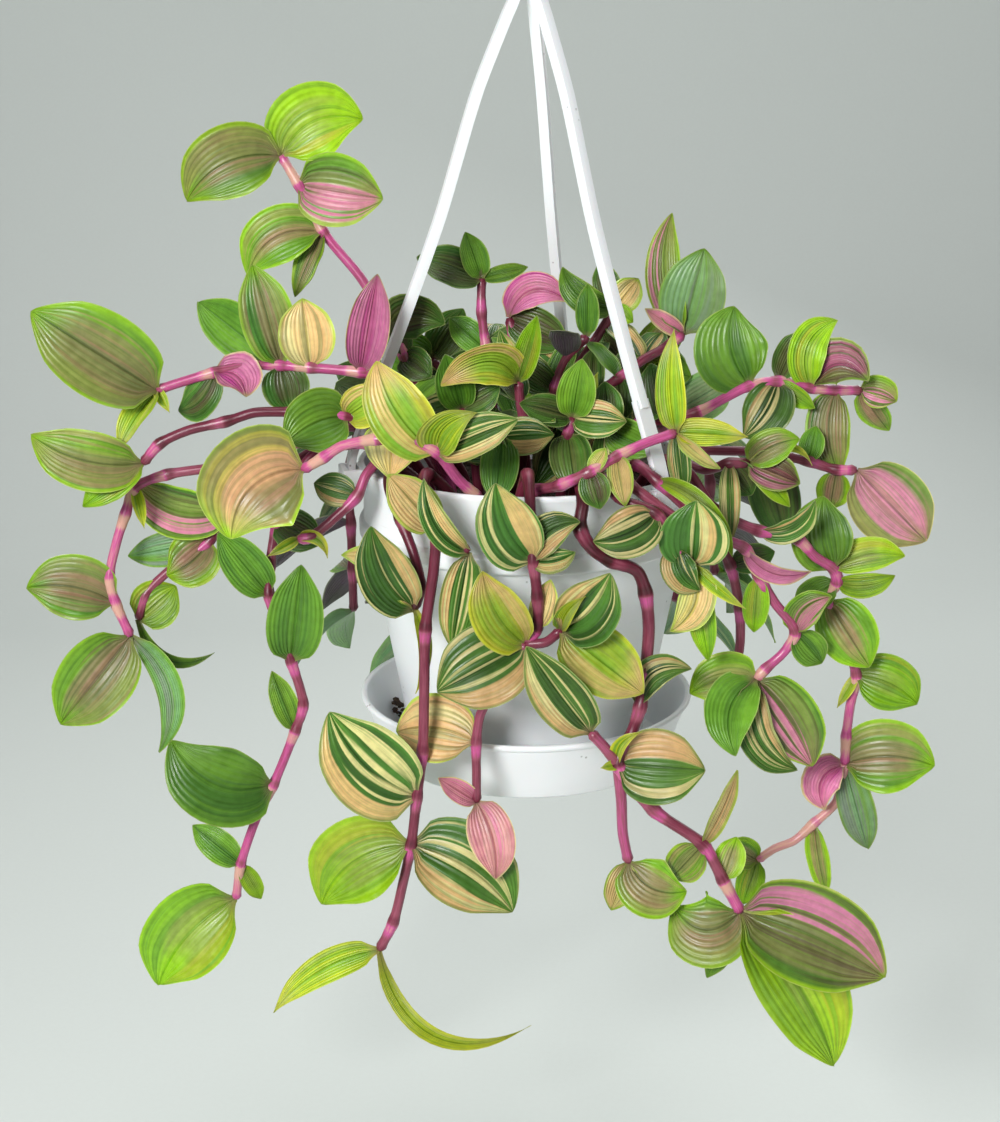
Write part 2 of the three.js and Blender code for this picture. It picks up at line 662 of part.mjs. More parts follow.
// Pot
function ear(degrees) {
  const body = solidOf(block(EAR.outer - EAR.inner, EAR.width, EAR.height,
    (EAR.outer + EAR.inner) / 2, 0, -EAR.height / 2));
  const slot = solidOf(block(EAR.slotOuter - EAR.slotInner, EAR.slotWidth, EAR.height * 3,
    (EAR.slotOuter + EAR.slotInner) / 2, 0, -EAR.height / 2));
  return { body: body.rotate([0, 0, degrees]), slot: slot.rotate([0, 0, degrees]) };
}

function pot() {
  let made = turned([...POT_OUTSIDE, ...POT_INSIDE]);
  const ears = Object.values(STRAP_ANGLES).map(ear);
  ears.forEach(({ body }) => {
    made = made.add(body);
  });
  ears.forEach(({ slot }) => {
    made = made.subtract(slot);
  });
  for (let i = 0; i < DRAIN_HOLES; i += 1) {
    const angle = (i / DRAIN_HOLES) * 2 * Math.PI;
    const drill = new THREE.CylinderGeometry(DRAIN_RADIUS, DRAIN_RADIUS, 20, DRAIN_SIDES);
    drill.rotateX(Math.PI / 2);
    drill.translate(DRAIN_CIRCLE * Math.cos(angle), DRAIN_CIRCLE * Math.sin(angle), POT_OUTSIDE[0][1]);
    made = made.subtract(solidOf(drill));
  }
  return made;
}

// Hanger
function hook() {
  const hubTop = HUB_BOTTOM + HUB_HEIGHT;
  const hub = turned([
    [0, HUB_BOTTOM], [HUB_RADIUS - 1, HUB_BOTTOM], [HUB_RADIUS, HUB_BOTTOM + 1], [HUB_RADIUS, hubTop - 3],
    [HUB_RADIUS - 3, hubTop], [0, hubTop],
  ], HUB_SIDES);
  const middle = HOOK_BEND + HOOK_ROD;
  const centre = HOOK_TO_RIM - HOOK_BEND;
  const bend = [];
  for (let i = 0; i <= 6; i += 1) {
    const angle = (i / 6) * Math.PI;
    bend.push([middle * Math.cos(angle), centre + middle * Math.sin(angle)]);
  }
  const points = [...HOOK_SHANK, ...bend, ...HOOK_TIP].map(([x, z]) => new THREE.Vector3(x, 0, z));
  return hub.add(solidOf(swept(roundOutline(HOOK_ROD, HOOK_SIDES), points, HOOK_STEPS)));
}

function strap(degrees) {
  const upright = ([r, z]) => new THREE.Vector3(r, 0, z);
  const arm = solidOf(swept(outlineOf(STRAP_WIDTH, STRAP_DEPTH), STRAP_ROUTE.map(upright), 9));
  const foot = solidOf(swept(outlineOf(FOOT_WIDTH, FOOT_THICK), FOOT_ROUTE.map(upright), 8));
  const barb = solidOf(block(FOOT_THICK, BARB_WIDTH, BARB_HEIGHT,
    FOOT_ROUTE[3][0], 0, BARB_TOP - BARB_HEIGHT / 2));
  return joined([arm, foot, barb]).rotate([0, 0, degrees]);
}

// Stems
function rootPlaces([x, y]) {
  const heights = [SOIL_TOP - ROOT_DEPTH, SOIL_TOP + 4];
  return heights.map((z) => new THREE.Vector3(x, y, z));
}

// A path whose equal steps fall on its own places, so that a leaf's base is on the stem's axis.
class StemPath extends THREE.CatmullRomCurve3 {
  getUtoTmapping(u) {
    return u;
  }
}

function stemSolid(points) {
  const options = {
    steps: points.length - 1,
    bevelEnabled: false,
    extrudePath: new StemPath(points, false, "centripetal"),
  };
  return solidOf(new THREE.ExtrudeGeometry(roundOutline(STEM_RADIUS, STEM_SIDES), options));
}

function rootHole([{ x, y, z }]) {
  const depth = 2 * (ROOT_DEPTH + TOUCH_GAP);
  const prism = new THREE.CylinderGeometry(HOLE_RADIUS, HOLE_RADIUS, depth, HOLE_SIDES);
  prism.rotateX(Math.PI / 2);
  prism.translate(x, y, z - TOUCH_GAP + depth / 2);
  return solidOf(prism);
}

// Leaves
const ROWS_LONG = [0, 0.17, 0.45, 0.76, 1];
const ROWS_MIDDLE = [0, 0.28, 0.68, 1];
const ROWS_SHORT = [0, 0.42, 1];
const LONG_LEAF = 60;

// Half width of a blade at u along it, as a share of the widest
function outlineShare(u, taper) {
  const shareAt = (place) => (1 - place) ** taper * (place + BASE_START) ** BASE_TAPER;
  const widest = (BASE_TAPER - taper * BASE_START) / (BASE_TAPER + taper);
  return shareAt(u) / shareAt(widest);
}

function bladeGeometry(leaf, grow) {
  const chord = leaf.tip.clone().sub(leaf.base);
  const length = chord.length();
  const along = chord.clone().divideScalar(length);
  const up = leaf.face.clone().addScaledVector(along, -leaf.face.dot(along)).normalize();
  up.applyAxisAngle(along, radians(leaf.roll));
  const side = up.clone().cross(along);
  const bend = radians(leaf.bend);
  const radius = length / (2 * Math.sin(bend / 2));
  const rows = length > LONG_LEAF ? ROWS_LONG : length > SHORT_LEAF ? ROWS_MIDDLE : ROWS_SHORT;
  const half = BLADE_THICK / 2 + grow;
  const columns = leaf.width > CHANNELLED_WIDTH ? [-1, 0, 1] : [-1, 1];
  const rise = columns.length > 2 ? 1 : FLAT_RISE;
  const edge = columns.length - 1;
  const faces = [];
  const top = [];
  const bottom = [];
  rows.forEach((u) => {
    const turn = bend / 2 - bend * u;
    const tangent = along.clone().multiplyScalar(Math.cos(turn)).addScaledVector(up, Math.sin(turn));
    const normal = up.clone().multiplyScalar(Math.cos(turn)).addScaledVector(along, -Math.sin(turn));
    const middle = leaf.base.clone()
      .addScaledVector(along, radius * (Math.sin(bend / 2) - Math.sin(turn)))
      .addScaledVector(up, radius * (Math.cos(turn) - Math.cos(bend / 2)))
      .addScaledVector(side, leaf.sweep * length * 4 * u * (1 - u));
    if (u === 1) {
      middle.addScaledVector(tangent, grow);
    }
    const veer = Math.atan(4 * leaf.sweep * (1 - 2 * u));
    const across = side.clone().multiplyScalar(Math.cos(veer)).addScaledVector(tangent, -Math.sin(veer));
    const share = u === 0 ? BASE_REACH : (leaf.width / 2) * outlineShare(u, leaf.taper);
    const reach = Math.max(LEAST_REACH, share) + grow;
    const fold = radians(leaf.fold + (CLASP_FOLD - leaf.fold) * (1 - u) ** 5);
    const topRow = [];
    const bottomRow = [];
    columns.forEach((v) => {
      const place = middle.clone()
        .addScaledVector(across, v * reach * Math.cos(fold))
        .addScaledVector(normal, Math.abs(v) * reach * Math.sin(fold) * rise);
      topRow.push(place.clone().addScaledVector(normal, half));
      bottomRow.push(place.clone().addScaledVector(normal, -half));
    });
    top.push(topRow);
    bottom.push(bottomRow);
  });
  const last = rows.length - 1;
  for (let i = 0; i < last; i += 1) {
    for (let j = 0; j < edge; j += 1) {
      const corners = (list) => [list[i][j], list[i + 1][j], list[i + 1][j + 1], list[i][j + 1]];
      const [a, b, c, d] = corners(top);
      const [p, q, r, s] = corners(bottom);
      if (j === 0) {
        faces.push(a, b, c, a, c, d, p, r, q, p, s, r);
      } else {
        faces.push(a, b, d, b, c, d, p, s, q, q, s, r);
      }
    }
    faces.push(top[i + 1][0], top[i][0], bottom[i][0], top[i + 1][0], bottom[i][0], bottom[i + 1][0]);
    const [p, q, r, s] = [top[i][edge], top[i + 1][edge], bottom[i + 1][edge], bottom[i][edge]];
    faces.push(p, q, r, p, r, s);
  }
  for (let j = 0; j < edge; j += 1) {
    faces.push(top[0][j], top[0][j + 1], bottom[0][j + 1], top[0][j], bottom[0][j + 1], bottom[0][j]);
    const [p, q, r, s] = [top[last][j + 1], top[last][j], bottom[last][j], bottom[last][j + 1]];
    faces.push(p, q, r, p, r, s);
  }
  const geometry = new THREE.BufferGeometry().setFromPoints(faces);
  return geometry;
}

function tried(leaf, [ahead, roll, turn, size]) {
  const chord = leaf.tip.clone().sub(leaf.base);
  chord.applyAxisAngle(leaf.toward, radians(turn)).multiplyScalar(size);
  return {
    ...leaf,
    tip: leaf.base.clone().add(chord).addScaledVector(leaf.toward, ahead),
    width: leaf.width * size,
    roll: leaf.roll + roll,
  };
}

function seenLeaf(stem, row) {
  const [place, x, z, ahead, width, roll, bend, sweep, kind] = row;
  const near = stem[place][2];
  const base = seen(...stem[place]);
  const tip = seen(x, z, near + ahead);
  return {
    base,
    tip,
    toward: EYE.clone().sub(tip).normalize(),
    face: EYE.clone().sub(base).normalize(),
    width: width * (1 + near / EYE.y),
    roll,
    bend,
    sweep,
    kind,
    fold: FOLD[kind] ?? PLAIN_FOLD,
    taper: TIP_TAPER[kind] ?? TIP_TAPER.plain,
  };
}

// A repeatable run of numbers between 0 and 1
let runningValue = 20711;
function nextShare() {
  runningValue = (runningValue * 16807) % 2147483647;
  return runningValue / 2147483647;
}

function aroundPot(degrees, radius, z) {
  return new THREE.Vector3(radius * Math.cos(radians(degrees)), radius * Math.sin(radians(degrees)), z);
}

function backShoot([degrees, drop], number) {
  const places = BACK_CROWN.map(([radius, z]) => aroundPot(degrees, radius, z));
  let heading = degrees;
  for (let z = BACK_CROWN.at(-1)[1] - BACK_STEP; z > -drop; z -= BACK_STEP) {
    heading += (nextShare() - 0.5) * BACK_SWING;
    places.push(aroundPot(heading, 90 + nextShare() * 4, z));
  }
  const leaves = [];
  places.slice(1).forEach((base, i) => {
    const last = i === places.length - 2;
    const sides = last ? [-1, 1] : [(i + number) % 2 ? 1 : -1];
    sides.forEach((sideways) => {
      const length = BACK_LEAF.length + nextShare() * BACK_LEAF.spread;
      const out = aroundPot(heading, 1, 0);
      const across = new THREE.Vector3(-out.y, out.x, 0);
      const tip = base.clone()
        .addScaledVector(across, sideways * length * (last ? 0.6 : 0.8))
        .addScaledVector(out, length * (i < 2 ? 0.2 : 0.42));
      tip.z += length * (i < 2 ? 0.45 : last ? -0.6 : -0.2 - nextShare() * 0.25);
      leaves.push({
        base,
        tip,
        toward: out.clone().setZ(0.5).normalize(),
        face: out.clone().setZ(0.6).normalize(),
        width: BACK_LEAF.width + nextShare() * BACK_LEAF.more,
        roll: 0,
        bend: BACK_LEAF.bend,
        sweep: 0,
        kind: BACK_KINDS[(number + i) % BACK_KINDS.length],
        fold: PLAIN_FOLD,
        taper: TIP_TAPER.plain,
      });
    });
  });
  return { stem: [...rootPlaces(aroundPot(degrees, BACK_ROOT_RADIUS, 0).toArray()), ...places], leaves };
}

// The box that a solid fills
function boxOfSolid(solid) {
  const { min, max } = solid.boundingBox();
  return new THREE.Box3(new THREE.Vector3(...min), new THREE.Vector3(...max));
}

// Every shoot with its stems and the leaves it should carry
const plant = [];
SHOOTS.forEach((shoot, index) => {
  const crown = shoot.crown ? [shoot.crown] : [];
  const stem = [...rootPlaces(shoot.root), ...[...crown, ...shoot.stem].map((place) => seen(...place))];
  const stems = [stemSolid(stem)];
  const leaves = shoot.leaves.map((row) => seenLeaf(shoot.stem, row));
  (shoot.twigs ?? []).forEach((twig) => {
    const places = [shoot.stem[twig.from], ...twig.stem];
    stems.push(stemSolid(places.map((place) => seen(...place))));
    twig.leaves.forEach((row) => leaves.push(seenLeaf(places, row)));
  });
  plant.push({ name: `shoot_${String(index + 1).padStart(2, "0")}`, stem, stems, leaves, hidden: 0 });
});
BACK_SHOOTS.forEach((row, index) => {
  const { stem, leaves } = backShoot(row, index);
  const name = `back_${String(index + 1).padStart(2, "0")}`;
  plant.push({ name, stem, stems: [stemSolid(stem)], leaves, hidden: 1 });
});

const made = {
  pot: pot(),
  saucer: turned(SAUCER_PROFILE),
  hook: hook(),
  strand_left: strap(STRAP_ANGLES.left),
  strand_back: strap(STRAP_ANGLES.back),
  strand_front: strap(STRAP_ANGLES.front),
};
made.soil = plant.reduce((soil, { stem }) => soil.subtract(rootHole(stem)), turned(SOIL_PROFILE));

// Everything the leaves must stay clear of. The leaves are placed from the largest to the smallest, those of
// the far side last.
const pieces = Object.entries(made).map(([name, solid]) => ({ name, solid, box: boxOfSolid(solid) }));
plant.forEach(({ name, stems }) => {
  stems.forEach((solid) => pieces.push({ name, solid, box: boxOfSolid(solid), stem: true }));
});

function fits(name, leaf) {
  const grown = solidOf(bladeGeometry(leaf, CLEARANCE));
  const real = solidOf(bladeGeometry(leaf, 0));
  const box = boxOfSolid(grown);
  const near = pieces.filter((piece) => piece.box.intersectsBox(box));
  const others = near.filter((piece) => piece.name !== name);
  const own = near.filter((piece) => piece.name === name);
  let clear = others.every((piece) => commonVolume(grown, piece.solid) < 1e-3);
  if (clear) {
    const stems = own.filter((piece) => piece.stem);
    const held = stems.reduce((sum, piece) => sum + commonVolume(real, piece.solid), 0);
    clear = held > OWN_STEM_LEAST && held < OWN_STEM_MOST;
  }
  if (clear) {
    const shared = own.filter((piece) => !piece.stem);
    clear = shared.every((piece) => commonVolume(real, piece.solid) < OWN_LEAF_MOST);
  }
  grown.delete();
  return clear ? real : null;
}

const jobs = plant.flatMap((shoot) => shoot.leaves.map((leaf) => ({ shoot, leaf })));
const FAR_SIDE_SHARE = 0.01;
const size = ({ shoot, leaf }) => (
  leaf.tip.distanceTo(leaf.base) * leaf.width * (shoot.hidden ? FAR_SIDE_SHARE : 1)
);
jobs.sort((a, b) => size(b) - size(a));
jobs.forEach(({ shoot, leaf }) => {
  let solid = null;
  for (let i = 0; i < TRIES.length && !solid; i += 1) {
    solid = fits(shoot.name, tried(leaf, TRIES[i]));
  }
  if (solid) {
    pieces.push({ name: shoot.name, solid, box: boxOfSolid(solid), stem: false });
  }
});

// Colours of the nodes
const LEAF_COLOURS = {
  lime: 0xa8bb5c,
  mauve: 0x93807c,
  stripe: 0x7d8f62,
  peach: 0xd9ab90,
  dark: 0x54503f,
  pink: 0xc98d9d,
  half: 0xb58489,
  green: 0x86a058,
  young: 0xc4cf5c,
  pale: 0xbccaa6,
};
const WHITE_PLASTIC = { color: 0xe9e9e6, roughness: 0.35, metalness: 0 };
const LEAF_ROUGHNESS = 0.45;

const group = new THREE.Group();
function addNode(name, solid, material) {
  const { vertProperties, triVerts, numProp } = solid.getMesh();
  const geometry = new THREE.BufferGeometry();
  const positions = new Float32Array((vertProperties.length / numProp) * 3);
  for (let i = 0; i * numProp < vertProperties.length; i += 1) {
    positions.set(vertProperties.subarray(i * numProp, i * numProp + 3), i * 3);
  }
  geometry.setAttribute("position", new THREE.BufferAttribute(positions, 3));
  geometry.setIndex(new THREE.BufferAttribute(new Uint32Array(triVerts), 1));
  geometry.computeVertexNormals();
  const mesh = new THREE.Mesh(geometry, new THREE.MeshStandardMaterial(material));
  mesh.name = name;
  mesh.position.z = -HOOK_TO_RIM;
  group.add(mesh);
}

["pot", "saucer", "hook", "strand_left", "strand_back", "strand_front"].forEach((name) => {
  addNode(name, made[name], WHITE_PLASTIC);
});
addNode("soil", made.soil, { color: 0x3a2c22, roughness: 0.95, metalness: 0 });
plant.forEach(({ name, leaves }) => {
  const own = pieces.filter((piece) => piece.name === name).map((piece) => piece.solid);
  const biggest = leaves.reduce((a, b) => (b.width > a.width ? b : a));
  const color = LEAF_COLOURS[biggest.kind];
  addNode(name, joined(own), { color, roughness: LEAF_ROUGHNESS, metalness: 0 });
});

export default group;
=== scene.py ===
# Potted tradescantia in a white hanging pot: fine leaves, stems, soil, pot and hanger over the CAD frame.
import json
import math
import random
from functools import partial

import bmesh
import bpy
from mathutils import Matrix, Quaternion, Vector, geometry, noise
from mathutils.bvhtree import BVHTree
from mathutils.kdtree import KDTree

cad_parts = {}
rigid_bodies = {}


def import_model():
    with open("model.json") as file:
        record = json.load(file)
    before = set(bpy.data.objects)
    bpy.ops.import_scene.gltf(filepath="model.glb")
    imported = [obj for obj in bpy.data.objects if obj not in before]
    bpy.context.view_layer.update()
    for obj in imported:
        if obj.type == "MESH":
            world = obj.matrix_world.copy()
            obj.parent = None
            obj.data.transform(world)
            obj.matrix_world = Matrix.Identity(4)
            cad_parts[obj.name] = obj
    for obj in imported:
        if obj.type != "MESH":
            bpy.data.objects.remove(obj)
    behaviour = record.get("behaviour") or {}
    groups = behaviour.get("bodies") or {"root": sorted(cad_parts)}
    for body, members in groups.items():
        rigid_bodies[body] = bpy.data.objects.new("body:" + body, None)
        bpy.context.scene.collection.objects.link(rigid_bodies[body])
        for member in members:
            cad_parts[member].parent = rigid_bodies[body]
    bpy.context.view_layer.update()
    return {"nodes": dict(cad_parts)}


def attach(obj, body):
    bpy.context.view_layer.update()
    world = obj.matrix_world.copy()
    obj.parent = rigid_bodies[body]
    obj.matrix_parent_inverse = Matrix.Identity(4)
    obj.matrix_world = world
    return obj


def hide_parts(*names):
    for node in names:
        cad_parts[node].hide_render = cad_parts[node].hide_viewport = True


bl_info = {
    "name": "Potted tradescantia",
    "version": (1, 0, 0),
    "blender": (4, 5, 0),
    "location": "View3D > Sidebar > Plant",
    "description": "Builds a variegated tradescantia in a white hanging pot",
    "category": "Add Mesh",
}

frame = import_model()

# Lengths are worked out in millimetres from the middle of the pot's rim, and put into the mesh in metres.
MM = 0.001
HOOK_TO_RIM = 262
TO_FRAME = Matrix.Scale(MM, 4) @ Matrix.Translation((0, 0, -HOOK_TO_RIM))
EYE_AHEAD = 800
EYE = Vector((-12, -EYE_AHEAD, 183))
SOIL_TOP = -15
ROOT_DEPTH = 13
SHEATH = 7

# A joint of a stem, seen from its ring: reach of the swelling, and the dark ring and the pale sheath as their
# place along the stem, their reach and how they change the tone
JOINT_REACH = 2.4
DARK_RING = (-1, 1.4, -0.2)
PALE_SHEATH = (3.5, 3, 0.3)
SHEATH_RISE = 0.09

# Materials
PLASTIC = "White moulded polypropylene"
PEAT = "Moist peat soil"
STEM_SKIN = "Fleshy stem skin"
CUTICLE = "Leaf cuticle, "
PAPER = "Matt studio paper"

# Colours that no setting changes, sRGB
THIN_EDGE = "dfdf9c"
LEAF_BASE = "b59f7c"
SPECK = "4a3d33"
PAPER_TOOTH = "b9b9b4"
ROOM = "f4f6f8"

# How far apart the marks of each finish are, millimetres. The mottle of the leaves and the paper's tooth are
# drawn coarser than real ones, so that they show.
CUTICLE_MOTTLE = 3.846
STEM_STREAK = 11.11
PLASTIC_CLOUD = 45.45
SCUFF = (16.67, 16.67, 0.625)
SPECK_GAP = 4.762
SPECK_PATCH = 13.33
PEAT_GRAIN = 2.381
PEAT_CLUMP = 3.03
TOOTH_GAP = 3.333

# Fold of the blade along its midrib by kind of leaf, degrees
FOLD = {"young": 40, "pink": 20, "half": 22, "flushed": 22, "russet": 22}
PLAIN_FOLD = 14
CLASP_FOLD = 50
TIP_TAPER = {"young": 0.9}
PLAIN_TAPER = 0.62
BASE_TAPER = 0.48
BASE_START = 0.02
CHANNELLED_WIDTH = 38
TIP_POINT = 0.42
PLEATS = 5
CAD_HALF_BLADE = 0.45
CAD_FLAT_RISE = 0.45
CAD_ROWS = {"short": [0.42, 1], "middle": [0.28, 0.68, 1], "long": [0.17, 0.45, 0.76, 1]}
SHORT_LEAF = 36
LONG_LEAF = 60
SAME_LEAF = 0.05
OTHER_LEAF = 0.35

